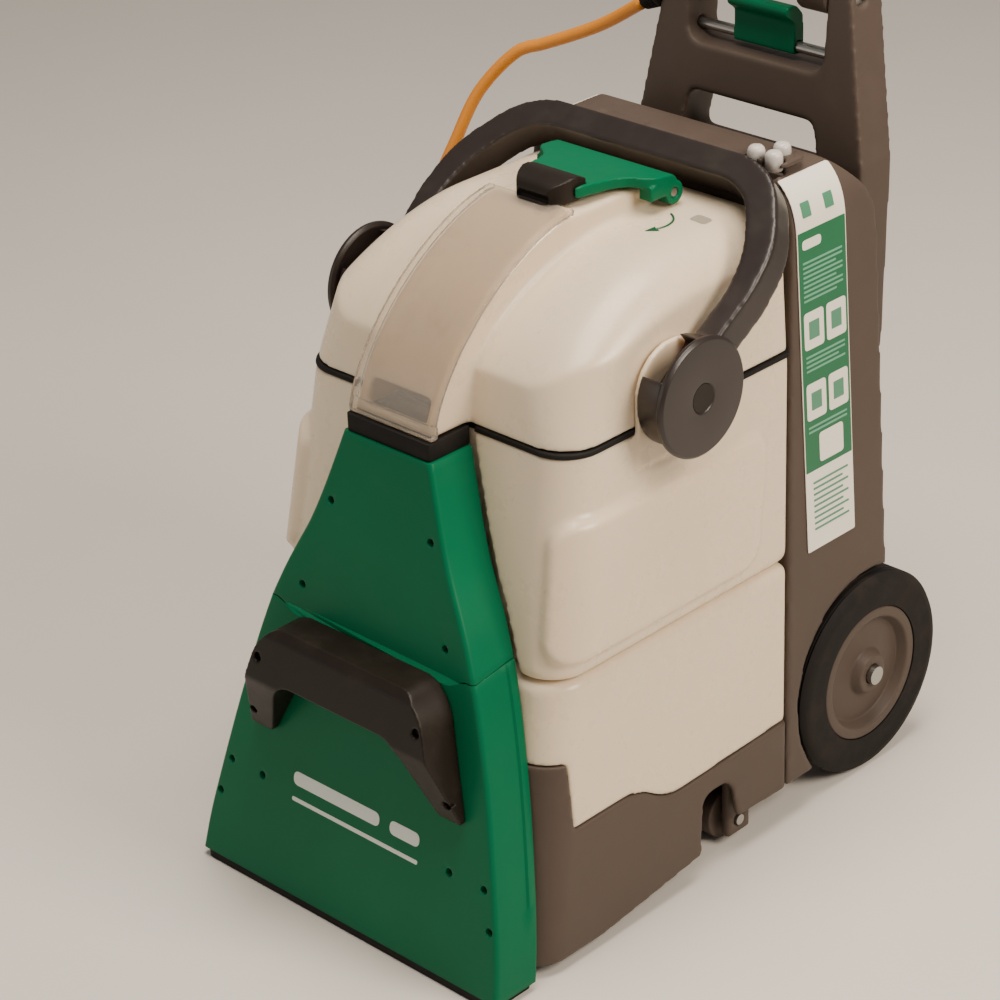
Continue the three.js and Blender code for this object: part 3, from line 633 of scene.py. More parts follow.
def face_slab(z0, z1, half, near, far, step=3):
    """A slab between two surfaces that follow the nozzle's face, near and far in front of it."""
    count = max(2, int((z1 - z0) / step))
    rings = []
    for i in range(count + 1):
        z = z0 + (z1 - z0) * i / count
        a, b = face_y(z) - far(z), face_y(z) - near(z)
        rings.append([(-half, a, z), (half, a, z), (half, b, z), (-half, b, z)])
    return loft("slab", rings)


def sinks(places, radius=3.0, depth=5):
    """Screw wells, square to the nozzle's face."""
    return [rod("y", radius, face_y(z) - 6, face_y(z) + depth, x, z, 24) for x, z in places]


def both(points):
    return [(s * x, z) for x, z in points for s in (1, -1)]


def screw_heads(name, places, depth, body="root", size=2.6):
    rings = []
    heads = None
    for x, z in places:
        y = face_y(z) + depth
        head = loft("head", [[(x + r * math.cos(t), y + d, z + r * math.sin(t))
                              for t in angles(24)]
                             for r, d in ((size, 1.6), (size, 0.5), (size * 0.8, 0.05), (size * 0.3, 0.0))])
        heads = head if heads is None else union(heads, head)
    piece(heads, name, body, "steel")
    smooth(heads)


LOWER_SCREWS = both([(122.8, 80.6), (91, 80.3), (131.5, 54)])
UPPER_SCREWS = both([(46.5, 294), (67.6, 228)])
HANDLE_SCREWS = both([(75.5, 185), (93.2, 134)])

lower = cut(nozzle_part(6, SPLIT - 0.5, 1.4, 150), *sinks(LOWER_SCREWS))
lower = cut(lower, prism("y", [(-134, -5), (134, -5), (128, 20), (-128, 20)], face_y(0) + 6, 34))
piece(crisp(lower, 0.9, 2, 50), "nozzle_lower_shell", "root", "green_plastic", "nozzle_lower")
upper = cut(nozzle_part(SPLIT + 0.3, 344.5, 0.0, 272), *sinks(UPPER_SCREWS))
piece(crisp(upper, 0.7, 2, 50), "nozzle_upper_shell", "root", "green_plastic", "nozzle_upper")
screw_heads("nozzle_screws", LOWER_SCREWS + UPPER_SCREWS, 3.2)

def on_face(points, low, high):
    """A print on the nozzle's face, a tenth of a millimetre or so proud."""
    slab = face_slab(low, high, 120, lambda z: -0.6, lambda z: 0.18, 2)
    return common(prism("y", points, -40, 60), slab)


mark = union(on_face(outline([(-60, 96, 5), (24, 96, 5), (24, 86, 5), (-60, 86, 5)], 8), 80, 100),
             on_face(outline([(34, 96, 5), (62, 96, 5), (62, 86, 5), (34, 86, 5)], 8), 80, 100),
             on_face(outline([(-60, 77, 1.4), (62, 77, 1.4), (62, 74, 1.4), (-60, 74, 1.4)], 4), 70, 80))
piece(mark, "nozzle_printed_mark", "root", "label_print", (), FINISHES["mark"])

band = cut(prism("z", outline(mirrored([(38.3, 67, 3), (38.3, 105.5, 3)]), 6), 345, 357.2),
           prism("z", outline(mirrored([(31, 75, 4), (31, 98, 4)]), 6), 340, 360))
piece(crisp(band, 0.7, 2), "nozzle_seal_band", "root", "black_rubber", "nozzle_seal")

# ---- front handle ----
GRIP_OUTER = [(102, 119, 4), (79, 194, 14), (64, 208, 8)]
GRIP_INNER = [(80, 119, 4), (60, 162, 8), (50, 172, 8)]


def proud(z):
    return 3 + 27 * min(1.0, max(0.0, (z - 116) / 52)) - 0.8 * max(0.0, z - 202)


grip_plan = outline(mirrored(GRIP_OUTER) + list(reversed(mirrored(GRIP_INNER))), 8)
bar = common(prism("y", grip_plan, -60, 90), face_slab(100, 220, 120, lambda z: GAP, proud))
finger = common(prism("y", outline(mirrored([(54, 100, 4), (54, 196, 8)])), -60, 90),
                face_slab(100, 200, 60, lambda z: -5, lambda z: 16.5))
wells = [rod("y", 3.4, face_y(z) - proud(z) - 8, face_y(z) - proud(z) + 5, x, z, 24)
         for x, z in HANDLE_SCREWS]
handle = mould(cut(bar, finger, *wells), 0.9, 2)
piece(handle, "front_carry_handle", "root", "dark_plastic", "front_handle")

# ---- lower casing and base ----
SKIRT = [(150, 100), (178, 80), (310, 84)]
side = outline([(86 + GAP, 100, 0), *((y, z, 20) for y, z in SKIRT[:2]), (340, 85), (340, CASING_TOP),
                (30, CASING_TOP), (30, BASE_TOP + GAP), (86 + GAP, BASE_TOP + GAP)])
casing = common(body_block(70, CASING_TOP, 0, casing_rear, 0, 7), prism("x", side, -160, 160))
casing = cut(casing, body_block(60, CASING_TOP - 5, WALL))
piece(mould(casing, 1.7, 6), "lower_casing_shell", "root", "ivory_plastic", "lower_casing")

side = outline([(30, 8), (106, 8), (200, 19), (209, 20, 4), (214, 64, 12), (244, 64, 12), (249, 31, 4),
                (320, 30), (320, 84 - GAP), *((y, z - GAP, 20) for y, z in list(reversed(SKIRT))[1:]),
                (86, 100 - GAP), (86, BASE_TOP), (30, BASE_TOP)])
base = common(body_block(6, 150, -0.8, casing_rear, 5, 0), prism("x", side, -160, 160))
base = cut(base, body_block(-1, 74, WALL))
lugs = [box(*sorted((s * a, s * b)), 250, 274, 8, 76) for s in (1, -1) for a, b in ((98, 106), (126, 134))]
base = cut(union(base, *lugs), rod("x", 4.4, -136, 136, 262, 19))
piece(mould(base, 1.7, 5), "base_moulding", "root", "grey_plastic", "base_shell")

# ---- tank ----
ARCH_AT = (201.3, 376.9)


def channel(extra):
    edge = [(nozzle_half(z) + 2.5 + extra, z) for z in range(195, 350, 5)]
    seat = prism("y", mirrored(edge), -10, 120)
    plan = [(130, -10), (130, 92 + extra), (72 + extra, 92 + extra), (64 + extra, 98 + extra),
            (42 + extra, 108.5 + extra)]
    depth = prism("z", mirrored(plan), 190, 346)
    slot = box(-42 - extra, 42 + extra, -10, 108.5 + extra, 190, 370)
    return union(common(seat, depth), slot)


PANEL = {"z0": 216, "z1": 316, "start": 10, "stop": 216, "radius": 20, "height": 7}


def panel_height(along, z):
    """How far the raised panel stands out, by distance along the side from the front corner and by height."""
    half_s, half_z = (PANEL["stop"] - PANEL["start"]) / 2, (PANEL["z1"] - PANEL["z0"]) / 2
    ds = abs(along - PANEL["start"] - half_s) - half_s + PANEL["radius"]
    dz = abs(z - PANEL["z0"] - half_z) - half_z + PANEL["radius"]
    outside = math.hypot(max(ds, 0), max(dz, 0)) + min(max(ds, dz), 0) - PANEL["radius"]
    return PANEL["height"] * smoothstep(-outside, -1.5, 6.5)


def tank_ring(z, inset):
    front, end, half = body_front(z) + inset, casing_rear(z) - inset, half_width(z) - inset
    r = 28 - 0.5 * inset
    side = []
    arc = math.pi / 2 * r
    for k in range(25):
        t = math.radians(-90 + 90 * k / 24)
        side.append((half - r + r * math.cos(t), front + r + r * math.sin(t),
                     math.cos(t), math.sin(t), arc * k / 24))
    length = end - 6 - front - r
    for k in range(1, 49):
        side.append((half, front + r + length * k / 48, 1, 0, arc + length * k / 48))
    for k in range(1, 7):
        t = math.radians(90 * k / 6)
        side.append((half - 6 + 6 * math.cos(t), end - 6 + 6 * math.sin(t), math.cos(t), math.sin(t), 900))
    raised = []
    for x, y, nx, ny, along in side:
        h = panel_height(along, z)
        raised.append((x + nx * h, y + ny * h, z))
    return raised + [(-x, y, z) for x, y, z in reversed(raised)]


heights = [CASING_TOP + GAP + h for h in (0, 0.5, 1.3, 2.5, 4, 6, 8)] + [214 + 2 * k for k in range(54)] + \
    [322 + 4 * k for k in range(9)]
rings = []
for z in heights:
    edge = z - CASING_TOP - GAP
    rings.append(tank_ring(z, 8 - math.sqrt(64 - (8 - edge) ** 2) if edge < 8 else 0))
tank = cut(loft("tank", rings), channel(0))
tank = cut(tank, cut(body_block(CASING_TOP + 6, 362, WALL, casing_rear), channel(WALL)))
for s in (1, -1):
    tank = union(tank, rod("x", 34, *span(s, 124, 127.8), *ARCH_AT),
                 box(*span(s, 124, 127.8), ARCH_AT[0] - 34, ARCH_AT[0] + 34, 330, ARCH_AT[1]))
tank = cut(tank, rod("x", 6.4, -140, 140, *ARCH_AT))
piece(mould(tank, 1.7, 6), "tank_body", "tank", "ivory_plastic", "tank_shell")

BAG = {"x": 106, "y": (124, 298), "z": (212.6, 294)}


def bag_ring(share, count=96):
    """The slack bag's outline at a share of its height: pillowed edges, creases and a sagging top."""
    middle, half = sum(BAG["y"]) / 2, (BAG["y"][1] - BAG["y"][0]) / 2
    pinch = 1 - 0.10 * abs(2 * share - 1) ** 3 - 0.45 * smoothstep(share, 0.93, 1)
    pinch -= 0.2 * (1 - smoothstep(share, 0, 0.05))
    ring = []
    for k in range(count):
        t = 2 * math.pi * k / count
        u = math.copysign(abs(math.cos(t)) ** 0.45, math.cos(t))
        v = math.copysign(abs(math.sin(t)) ** 0.45, math.sin(t))
        crease = 1 - 0.035 * max(0.0, noise.noise(Vector((u * 5, v * 5, share * 4)))) * 2
        sag = 9 * noise.noise(Vector((u * 1.4, v * 1.4, 3))) * share
        z = BAG["z"][0] + (BAG["z"][1] - BAG["z"][0]) * share - abs(sag) * share
        ring.append((BAG["x"] * u * pinch * crease, middle + half * v * pinch * crease, z))
    return ring


shares = [0, 0.02, 0.05] + [0.1 + 0.1 * k for k in range(9)] + [0.94, 0.97, 1]
bag = loft("bag", [bag_ring(share) for share in shares])
piece(mould(bag, 2.4, 6), "clean_water_bag", "tank", "clear_plastic", "clean_bladder", FINISHES["bag"])

gasket = cut(body_block(353.9, 357.7, -0.7, casing_rear, 1.2, 1.2), body_block(350, 360, 6, casing_rear),
             box(-42, 42, -10, 108.5, 350, 362))
smooth(gasket)
piece(gasket, "tank_seal_line", "tank", "black_rubber", "tank_gasket")

# ---- dome lid ----
DOME_FRONT = 98


def dome_top(y):
    t = min(1, max(0, (y - DOME_FRONT) / 144))
    return 364 + 90 * (1 - (1 - t) ** 1.72) ** (1 / 1.72)


def dome_section(count=14):
    corner = []
    for i in range(count + 1):
        t = math.pi / 2 * i / count
        corner.append((0.6 + 0.4 * math.cos(t) ** 0.87, 0.45 + 0.55 * math.sin(t) ** 0.87))
    return mirrored([(1, 0), (1, 0.25), *corner, (0.3, 1)])


def shoulders(inset, low):
    rings = []
    ends = (DOME_FRONT + inset, LID_REAR - inset)
    for i in range(41):
        y = ends[0] + (ends[1] - ends[0]) * (i / 40) ** 1.6
        top = dome_top(y) - inset
        rings.append([(x * (125 - inset), y, low + z * (top - low)) for x, z in dome_section()])
    return loft("shoulders", rings)


def ridge_side(reach, rise, rear_z, count=28):
    curve = []
    for i in range(count + 1):
        t = math.pi / 2 * i / count
        curve.append((209 - reach * math.cos(t) ** 1.25, RIM_Z + rise * math.sin(t) ** 1.25))
    return curve + [(300, rear_z), (308, rear_z - 17), (LID_REAR, rear_z - 19), (LID_REAR, 340),
                    (209 - reach, 340)]


def lid_rear(z):
    return LID_REAR


dome = common(shoulders(0, 358), body_block(340, 490, 0, lid_rear))
ridge = common(prism("x", ridge_side(134, 114, 470), -36, 36), box(-40, 40, 40, LID_REAR, 358, 490))
dome = union(dome, ridge)
room = common(shoulders(WALL, 340), body_block(330, 480, WALL, lid_rear))
hollow = common(prism("x", ridge_side(128, 110, 466), -32, 32), box(-40, 40, 60, LID_REAR - 4, 330, 480))
LATCH_AT = (292, 464)
dome = cut(dome, room, hollow, box(-27, 27, 60, 150, 364, 380), rod("x", 3.5, -60, 60, *LATCH_AT))
boss = rod("z", 8.5, 448, 463, -52, 282)
dome = mould(union(dome, boss), 1.6, 24)


def dome_height(x, y):
    """The height of the dome's top over a place."""
    hit, place, *_ = dome.ray_cast(at(x, y, 600), Vector((0, 0, -1)))
    return place.z / MM if hit else 0


turns = [math.radians(-25 + 9 * k) for k in range(11)]
arrow = [(50 + 20 * math.cos(t), 262 + 20 * math.sin(t)) for t in turns]
stroke = tube("arrow", [Vector((x, y, dome_height(x, y) + 0.15)) for x, y in arrow], 0.8, 10)
x, y = arrow[0]
head = [(x + 3.6, y - 0.5), (x - 3.0, y + 2.4), (x - 3.4, y - 6.5)]
tip = loft("tip", [[(a, b, dome_height(a, b) + lift_off) for a, b in head] for lift_off in (-0.6, 0.5)])
crest = [(a, b) for a, b in outline([(73, 281, 3), (86, 281, 3), (86, 291, 3), (73, 291, 3)], 4)]
blot = loft("blot", [[(a, b, dome_height(a, b) + lift_off) for a, b in crest] for lift_off in (-0.6, 0.3)])
piece(union(stroke, tip), "dome_printed_arrow", "lid", "label_print", (), FINISHES["mark_green"])
piece(blot, "dome_printed_sign", "lid", "label_print", (), FINISHES["mark_grey"])
piece(dome, "dome_shell", "lid", "ivory_plastic", "dome_lid")

COVER_END = 208.6


def cover_path(inset, count=40):
    reach, rise = 139 - inset, 118.4 - inset
    result = []
    for i in range(count + 1):
        t = math.pi / 2 * i / count
        result.append((209 - reach * math.cos(t) ** 1.25, RIM_Z + rise * math.sin(t) ** 1.25))
    return [p for p in result if p[1] >= 358]


skin = prism("x", cover_path(0) + list(reversed(cover_path(1.8))), -37.8, 37.8)
rims = [prism("x", cover_path(-0.6) + list(reversed(cover_path(4.2))), *span(s, 33.6, 38)) for s in (1, -1)]
foot = prism("x", [(69.6, 358), (76, 358), (77.5, 366), (70.5, 366)], -38, 38)
cover = common(union(skin, *rims, foot), box(-60, 60, 0, COVER_END, 358.1, 500))
piece(mould(cover, 0.9, 3), "duct_cover_shell", "lid", "clear_plastic", "duct_cover")

# ---- latch ----
y, z = LATCH_AT
plate_side = outline([(y + 7, z), (y, z + 14, 6), (222, 484.5, 4), (214, 481, 2), (216, 476.5), (y - 8, 472)])
plan = outline([(52, y + 12, 3), (52, y - 22, 8), (34, y - 34, 14), (30, 214, 12), (-22, 214, 12),
                (-34, y - 34, 14), (-52, y - 22, 8), (-52, y + 12, 3)])
latch = common(prism("x", plate_side, -52, 52), prism("z", plan, 440, 520))
knuckles = [rod("x", 8.5, *span(s, 41, 52), y, z) for s in (1, -1)]
cheeks = [box(*span(s, 41, 52), y - 24, y, z, z + 10) for s in (1, -1)]
latch = cut(union(latch, *knuckles, *cheeks), rod("x", 3.5, -60, 60, y, z), rod("x", 11, -37, 37, y, z),
            box(-18, 28, 200, 232, 470, 500))
piece(mould(latch, 0.9, 4), "lid_latch_plate", "latch", "green_plastic", "lid_latch")
thumb = prism("x", outline([(201, 472, 3), (231.6, 474), (231.6, 487), (221, 491, 8), (203, 485, 6)]),
              -17.6, 27.6)
thumb = common(thumb, prism("z", outline([(-17.6, 232), (27.6, 232), (27.6, 214, 16), (16, 199, 18),
                                         (-6, 199, 18), (-17.6, 214, 16)]), 460, 500))
thumb = cut(thumb, prism("x", outline([(196, 474), (207, 474), (205, 480, 4), (196, 481)]), -9, 19))
piece(mould(thumb, 0.8, 5), "latch_thumb_grip", "latch", "dark_plastic", "latch_grip")

# ---- carry arch and discs ----
INNER, OUTER, ARCH_LEAN = 128.5, 147.5, math.radians(52)


def leant(x, y, z):
    """From the arch's own frame to the machine's."""
    return (x, ARCH_AT[0] + y * math.cos(ARCH_LEAN) + z * math.sin(ARCH_LEAN),
            ARCH_AT[1] - y * math.sin(ARCH_LEAN) + z * math.cos(ARCH_LEAN))


outer_bow = [(OUTER, 0), (OUTER, 46, 14), (OUTER + 3, 72, 24), (OUTER - 1, 112, 40), (110, 167, 60)]
inner_bow = [(INNER, 0), (INNER, 46, 14), (INNER + 3, 68, 24), (INNER - 2, 100, 36), (98, 147, 48)]
bow_outline = dense(outline(mirrored(outer_bow) + list(reversed(mirrored(inner_bow))), 14), 6)
arch = prism("y", bow_outline, -12, 12, leant)
for s in (1, -1):
    low, high = span(s, INNER, OUTER)
    hub = loft("hub", [[leant(x, a, b) for a, b in circle(37, 0, 0, 72)] for x in (low, high)])
    arch = union(arch, hub)
notch = prism("z", [(-150, -50), (150, -50), (150, -16), (-150, -16)], -12, 26, leant)
arch = cut(arch, notch, rod("x", 6.4, -150, 150, *ARCH_AT))
piece(mould(arch, 1.3, 12), "carry_arch_bow", "arch", "arch_plastic", "carry_arch")

for name, s in SIDES.items():
    profile = rounded([(6.4, 148), (38.5, 148), (41.3, 149.6), (41.3, 152.2), (39.4, 154), (11, 154),
                       (10, 153.2), (9, 151.2), (6.4, 150.8)], 0.5, 3)
    disc = turned("disc", profile, *ARCH_AT)
    if s < 0:
        mirror(disc)
    smooth(disc, 50)
    piece(disc, f"arch_disc_{name}_face", "arch", "arch_plastic", f"arch_disc_{name}")

# ---- motor housing ----
WHEEL_AT = (403, 78)
BUTTONS = {"front": (92, 346), "back": (86, 362), "inner": (76, 347)}


def housing_section(inset, low, corner=45):
    top = (half_width(HOUSING_TOP) - inset, HOUSING_TOP - inset, corner - inset)
    return outline(mirrored([(half_width(low) - inset, low), top]), 14)


housing_side = outline([(body_rear(30) + GAP, 30), (body_rear(462) + GAP, 462, 4), (343, HOUSING_TOP, 5),
                        (382, HOUSING_TOP, 30),
                        (HOUSING_REAR, 440, 24), (HOUSING_REAR, 30, 12)], 8)
housing = common(prism("x", housing_side, -160, 160), prism("y", housing_section(0, 30), 290, 440))
inner_side = outline([(body_rear(30) + 5, 34), (body_rear(480) + 5, 474), (382, 474, 20), (440, 436),
                      (440, 34)])
room = common(prism("x", inner_side, -96, 96), prism("y", housing_section(6, 20), 290, 460))
wells = [cut(rod("x", 83, -200, 200, *WHEEL_AT, 96), box(-104, 104, 200, 600, -100, 300))]
slot = prism("z", outline([(-66, 346, 3), (-22, 346, 3), (-22, 352, 3), (-66, 352, 3)]), HOUSING_TOP - 2, 500)
button_wells = [rod("z", 7.6, 468, 500, bx, by) for bx, by in BUTTONS.values()]
bezel_plan = outline(mirrored([(18, -12, 8), (18, 16, 8)]))
bezel = prism("z", [(85 + a, 353 + b) for a, b in bezel_plan], HOUSING_TOP - 2, HOUSING_TOP + 2.4)
housing = union(housing, bezel)
housing = cut(housing, room, *wells, rod("x", 7.4, -120, 120, *WHEEL_AT), slot, *button_wells)
piece(mould(housing, 1.8, 7), "motor_housing_shell", "root", "grey_plastic", "rear_housing")

cover_plan = outline(mirrored([(96, 40, 12), (96, 176, 6), (114, 190, 6), (101, 432, 14)]))
cover = prism("y", cover_plan, HOUSING_REAR + GAP, HOUSING_REAR + 4.2)
louvres = [box(-60, 60, HOUSING_REAR + 2.4, 440, h, h + 7) for h in (230, 246, 262, 278)]
piece(crisp(cut(cover, *louvres), 0.8), "rear_cover_panel", "root", "grey_plastic", "rear_cover")

def switch_boot(name, x, y):
    profile = ((0.1, 474), (6.2, 474), (6.2, 481), (6.0, 483.6), (5.4, 485.4), (4.2, 486.7), (2.4, 487.3),
               (0.1, 487.4))
    boot = loft("boot", [[(a, b, h) for a, b in circle(r, x, y, 48)] for r, h in profile])
    smooth(boot)
    body = f"switch_{name}"
    piece(boot, f"switch_boot_{name}", body, "clear_plastic", body, FINISHES["boot"])


for name, (bx, by) in BUTTONS.items():
    switch_boot(name, bx, by)

# ---- wheels ----
for name, s in SIDES.items():
    rim = 52
    tread = [(rim, 108), (70, 108), (75, 109.5), (77.4, 112.5)]
    for k in range(5):
        x = 114.5 + k * 4.4
        tread += [(78, x), (78, x + 2.6), (76.9, x + 3.0), (76.9, x + 4.0)]
    tread += [(78, 136.8), (75.5, 139.8), (70, 141), (66, 140.2), (60, 140.8), (rim, 140.4)]
    tyre = turned("tyre", tread, *WHEEL_AT, 128)
    disc = [(7.4, 108), (20, 108), (20, 112), (44, 116), (rim - GAP, 112), (rim - GAP, 140), (44, 140),
            (40, 132), (18, 135), (14, 142), (7.4, 142)]
    hub = turned("hub", rounded(disc, 1.5, 4), *WHEEL_AT)
    for obj, part, slot_name in ((tyre, "tyre", "tyre_rubber"), (hub, "hub", "grey_plastic")):
        if s < 0:
            mirror(obj)
        smooth(obj, 40)
        piece(obj, f"{part}_{name}", f"wheel_{name}", slot_name, f"wheel_{part}_{name}")
    low, high = span(s, 110, 122)
    roller = turned("roller", rounded([(4.4, low), (19, low), (19, high), (4.4, high)], 1.6, 4), 262, 19, 64)
    smooth(roller, 40)
    piece(roller, f"roller_{name}_wheel", f"roller_{name}", "grey_plastic", f"roller_{name}")

# ---- handle frame and lever ----
FOLD_AT, LEVER_AT = (452, 562), (452, 517)

root_plate = prism("y", outline(mirrored([(97, 300, 10), (101.5, 450)])), 429, 463)
frame_piece = union(root_plate, frame_shape(mirrored([(101.5, 449.5), (82, 558), (78, 581, 14)])))
frame_piece = cut(frame_piece, frame_shape(mirrored([(64, 438, 8), (56, 474, 8)]), 60, -10),
                  frame_shape(mirrored([(61, 508, 14), (61, 640)]), 60, -10),
                  box(-80, 80, 445, 480, 310, 430),
                  rod("x", 5.4, -100, 100, *FOLD_AT), rod("x", 4.4, -70, 70, *LEVER_AT))
HOOK_FACE = 468
hook_side = [(-6, 478), (-6, 500, 3), (24, 500, 5), (24, 478, 2), (19, 478, 2), (19, 495, 3), (8, 495, 3),
             (8, 478)]
hook = prism("x", outline([(HOOK_FACE + a, *rest) for a, *rest in hook_side]), -12, 12)
frame_piece = union(frame_piece, hook)
piece(mould(frame_piece, 1.5, 8), "handle_frame_moulding", "root", "grey_plastic", "handle_frame")
y, z = LEVER_AT
lever = prism("x", outline([(y - 6, z - 5, 3), (y + 6, z - 5, 3), (y + 5, z + 22), (y - 2, z + 31, 5),
                            (y - 13, z + 31, 5), (y - 14, z + 25, 4), (y - 5, z + 18)]), -27, 27)
lever = cut(lever, rod("x", 4.4, -40, 40, y, z))
piece(mould(lever, 0.9, 4), "release_lever_paddle", "lever", "green_plastic", "release_lever")

# ---- upper handle, grip, trigger ----
GRIP_TOP = 1095
TRIGGER_AT = (513, GRIP_TOP - 44)


def handle_shape(points, y0, y1):
    return prism("y", outline(points), y0, y1, lambda x, y, z: (x, y + FRAME_LEAN * (z - FOLD_AT[1]), z))


y, z = FOLD_AT
shaft = handle_shape(mirrored([(78, z + 28, 8), (52, z + 190, 30), (24, z + 300, 40), (24, z + 400, 30),
                               (50, z + 440, 24), (50, GRIP_TOP, 26)]), y - 14, y + 12)
necks = []
for s in (1, -1):
    necks += [rod("x", 15, *span(s, 34, 60.5), y, z), box(*span(s, 34, 60.5), y - 11, y + 11, z, z + 36)]
shaft = cut(union(shaft, *necks),
            handle_shape(mirrored([(58, z + 50, 12), (36, z + 190, 12)]), y - 40, y + 40),
            handle_shape(mirrored([(32, z + 444, 12), (32, GRIP_TOP - 28, 12)]), y - 40, y + 40),
            rod("x", 5.4, -100, 100, y, z), rod("x", 3.4, -42, 42, *TRIGGER_AT),
            box(-33, 33, 400, 600, GRIP_TOP - 32, GRIP_TOP + 10))
piece(mould(shaft, 1.5, 7), "upper_handle_moulding", "handle", "grey_plastic", "upper_handle")
middle = y + FRAME_LEAN * (GRIP_TOP - 14 - z) - 1
low, high = -32.6, 32.6
rings = []
for i in range(67):
    x = low + (high - low) * i / 66
    ribbed = 0.7 * math.sin(math.pi * i / 3) if 4 < i < 62 else 0
    rings.append([(x, a, b) for a, b in outline([(middle - 14 - ribbed, GRIP_TOP - 29 - ribbed, 13),
                                                 (middle + 14 + ribbed, GRIP_TOP - 29 - ribbed, 13),
                                                 (middle + 14 + ribbed, GRIP_TOP - 1 + ribbed, 13),
                                                 (middle - 14 - ribbed, GRIP_TOP - 1 + ribbed, 13)], 10)])
grip = loft("grip", rings)
smooth(grip)
piece(grip, "handle_grip_sleeve", "handle", "black_rubber", "handle_grip")
y, z = TRIGGER_AT
trigger = prism("x", outline([(y + 6, z - 5, 4), (y + 6, z + 5, 4), (y - 20, z + 5, 4), (y - 34, z - 2, 3),
                              (y - 36, z - 8, 3), (y - 20, z - 3, 4)]), -24, 24)
piece(mould(union(trigger, rod("x", 3, -40, 40, y, z)), 0.8, 3), "trigger_blade", "trigger", "green_plastic",
      "spray_trigger")

# ---- side labels: a printed sheet, with plain shapes where the print is ----
LABEL_Y, LABEL_Z = (336, 388), (202, 471)
PRINT_GREEN = [(336.8, 387.2, 262, 437)]
PANEL_ROWS = (352, 300)
PRINT_PALE = [(341, 361, 424, 431)] + [(y, y + 21, z, z + 27) for z in PANEL_ROWS for y in (340, 364)] + \
    [(352, 378, 266, 288)]
PRINT_LINES = [(341, 383 - 7 * (k % 3 == 2), z - 3.4 * k, z - 3.4 * k + 1.5)
               for z, n in ((414, 9), (346, 4), (294, 2)) for k in range(n)]
PRINT_DARK = [(344, 382 - 6 * (k % 2), 252 - 4.4 * k, 253.4 - 4.4 * k) for k in range(9)] + \
    [(y, y + 9, 446, 456) for y in (344, 368)] + \
    [(y, y + 11, z + 7, z + 20) for z in PANEL_ROWS for y in (345, 369)]


def skin_of_housing(lift, thick):
    """A thin skin over the housing's side, standing lift above it."""
    return cut(prism("y", housing_section(-lift - thick, 200), LABEL_Y[0], LABEL_Y[1]),
               prism("y", housing_section(-lift, 180), LABEL_Y[0] - 6, LABEL_Y[1] + 6))


def patches(s, rows, radius):
    shapes = [prism("x", outline([(y0, z0, radius), (y1, z0, radius), (y1, z1, radius), (y0, z1, radius)], 4),
                    *span(s, 96, 200)) for y0, y1, z0, z1 in rows]
    return union(shapes[0], *shapes[1:])


LABEL_LAYERS = (
    ("sheet", [(*LABEL_Y, *LABEL_Z)], 0.4, 0.5, 1.5, "label_print"),
    ("green", PRINT_GREEN, 0.75, 0.25, 1.0, "label_green"),
    ("panels", PRINT_PALE, 0.85, 0.3, 3.0, "label_print"),
    ("lines", PRINT_LINES, 0.85, 0.3, 0.6, "label_lines"),
    ("marks", PRINT_DARK, 0.85, 0.45, 0.6, "label_marks"),
)
FINISHES["label_green"] = material("label_green", (0, 96, 58), (0.3, 0.42), 0.03, 900, 0.04, 0.03)
FINISHES["label_lines"] = material("label_lines", (96, 158, 128), (0.3, 0.42), 0.03, 900, 0.04, 0.03)
FINISHES["label_marks"] = material("label_marks", (70, 130, 100), (0.3, 0.42), 0.03, 900, 0.04, 0.03)
for side_name, s in SIDES.items():
    for layer, rows, lift_off, thick, radius, finish in LABEL_LAYERS:
        sheet = common(skin_of_housing(lift_off, thick), patches(s, rows, radius))
        smooth(sheet, 30)
        node = f"side_label_{side_name}" if layer == "sheet" else ()
        piece(sheet, f"side_label_{side_name}_{layer}", "root", "label_print", node,
              FINISHES.get(finish, MATERIALS["label_print"]))

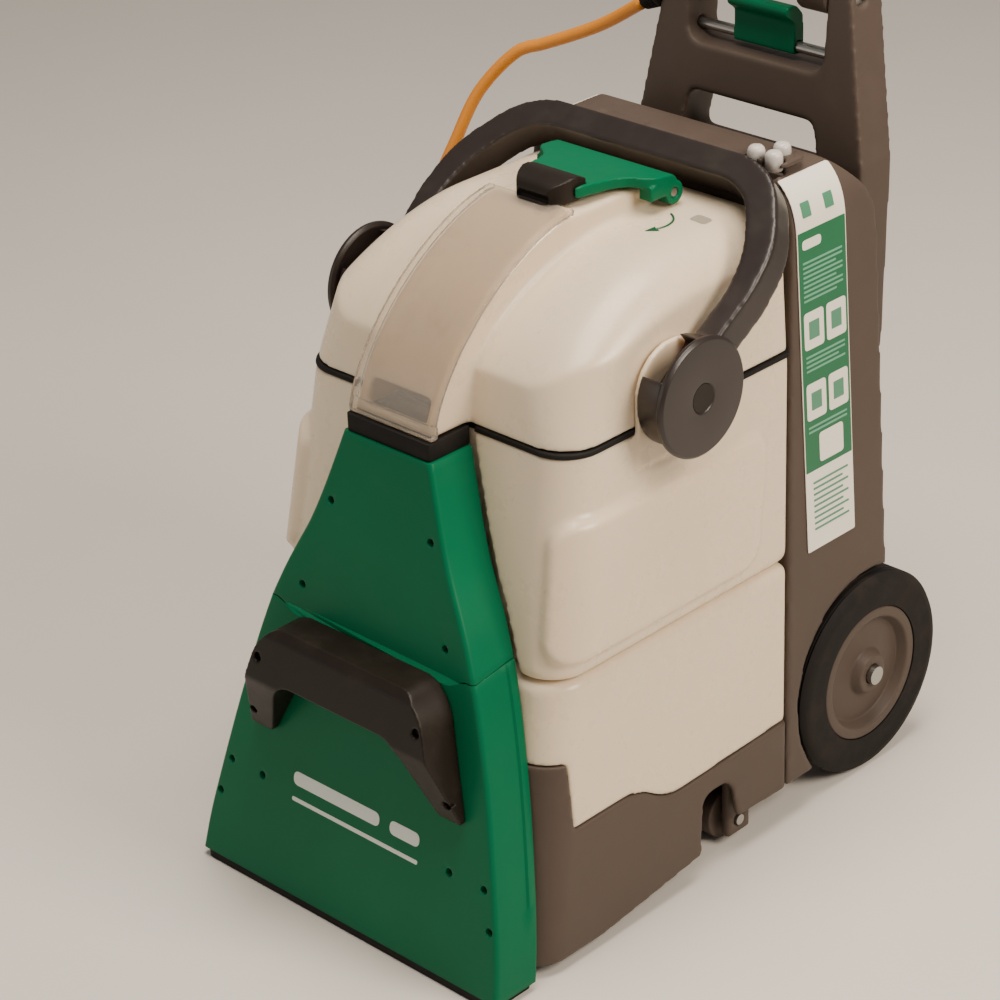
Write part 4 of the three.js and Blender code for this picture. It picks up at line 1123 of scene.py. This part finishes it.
# ---- parts carried over from the frame with their own finish ----
NODES_OF_FINISH = {
    "black_rubber": ("suction_lip", "motor_pulley", "drive_belt"),
    "dark_plastic": ("brush_core", "water_pump", "arch_pin_right", "arch_pin_left", "cord_hook_upper"),
    "grey_plastic": ("spray_bar", "float_cage"),
    "steel": ("brush_motor", "roller_axle", "vacuum_motor", "vacuum_fan", "wheel_axle", "fold_pin",
              "lever_axle", "latch_pin"),
    "bristle": ("brush_bristles",),
    "label_print": ("float_ball",),
}
for slot_name, carried in NODES_OF_FINISH.items():
    for name in carried:
        obj = nodes[name]
        obj.data.materials.clear()
        obj.data.materials.append(MATERIALS[slot_name])

# ---- floor and light ----
floor_data = bpy.data.meshes.new("floor")
corners = [(x, y, -0.0005) for x, y in ((-8, -8), (8, -8), (8, 8), (-8, 8))]
floor_data.from_pydata(corners, [], [(0, 1, 2, 3)])
floor = bpy.data.objects.new("floor", floor_data)
scene.collection.objects.link(floor)
floor.data.materials.append(material("floor", (214, 208, 200), (0.7, 0.8), 0.0, 200, 0.01))
floor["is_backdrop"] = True


def softbox(name, place, target, size, power, colour):
    data = bpy.data.lights.new(name, "AREA")
    data.shape = "RECTANGLE"
    data.size, data.size_y = size
    data.energy = power
    data.color = colour
    lamp = bpy.data.objects.new(name, data)
    scene.collection.objects.link(lamp)
    lamp.location = at(*place)
    lamp.rotation_euler = (at(*target) - at(*place)).to_track_quat("-Z", "Y").to_euler()


MIDDLE = (0, 230, 250)
softbox("key", (1700, 500, 1500), MIDDLE, (0.9, 0.9), 44, (1.0, 0.88, 0.74))
softbox("top", (100, 250, 2300), MIDDLE, (1.4, 1.0), 56, (1.0, 0.91, 0.8))
softbox("fill", (-900, -1900, 900), MIDDLE, (1.6, 1.2), 7, (1.0, 0.94, 0.88))
world = bpy.data.worlds.new("world")
world.use_nodes = True
world.node_tree.nodes["Background"].inputs["Color"].default_value = (0.92, 0.87, 0.8, 1)
world.node_tree.nodes["Background"].inputs["Strength"].default_value = 0.3
scene.world = world

low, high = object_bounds()
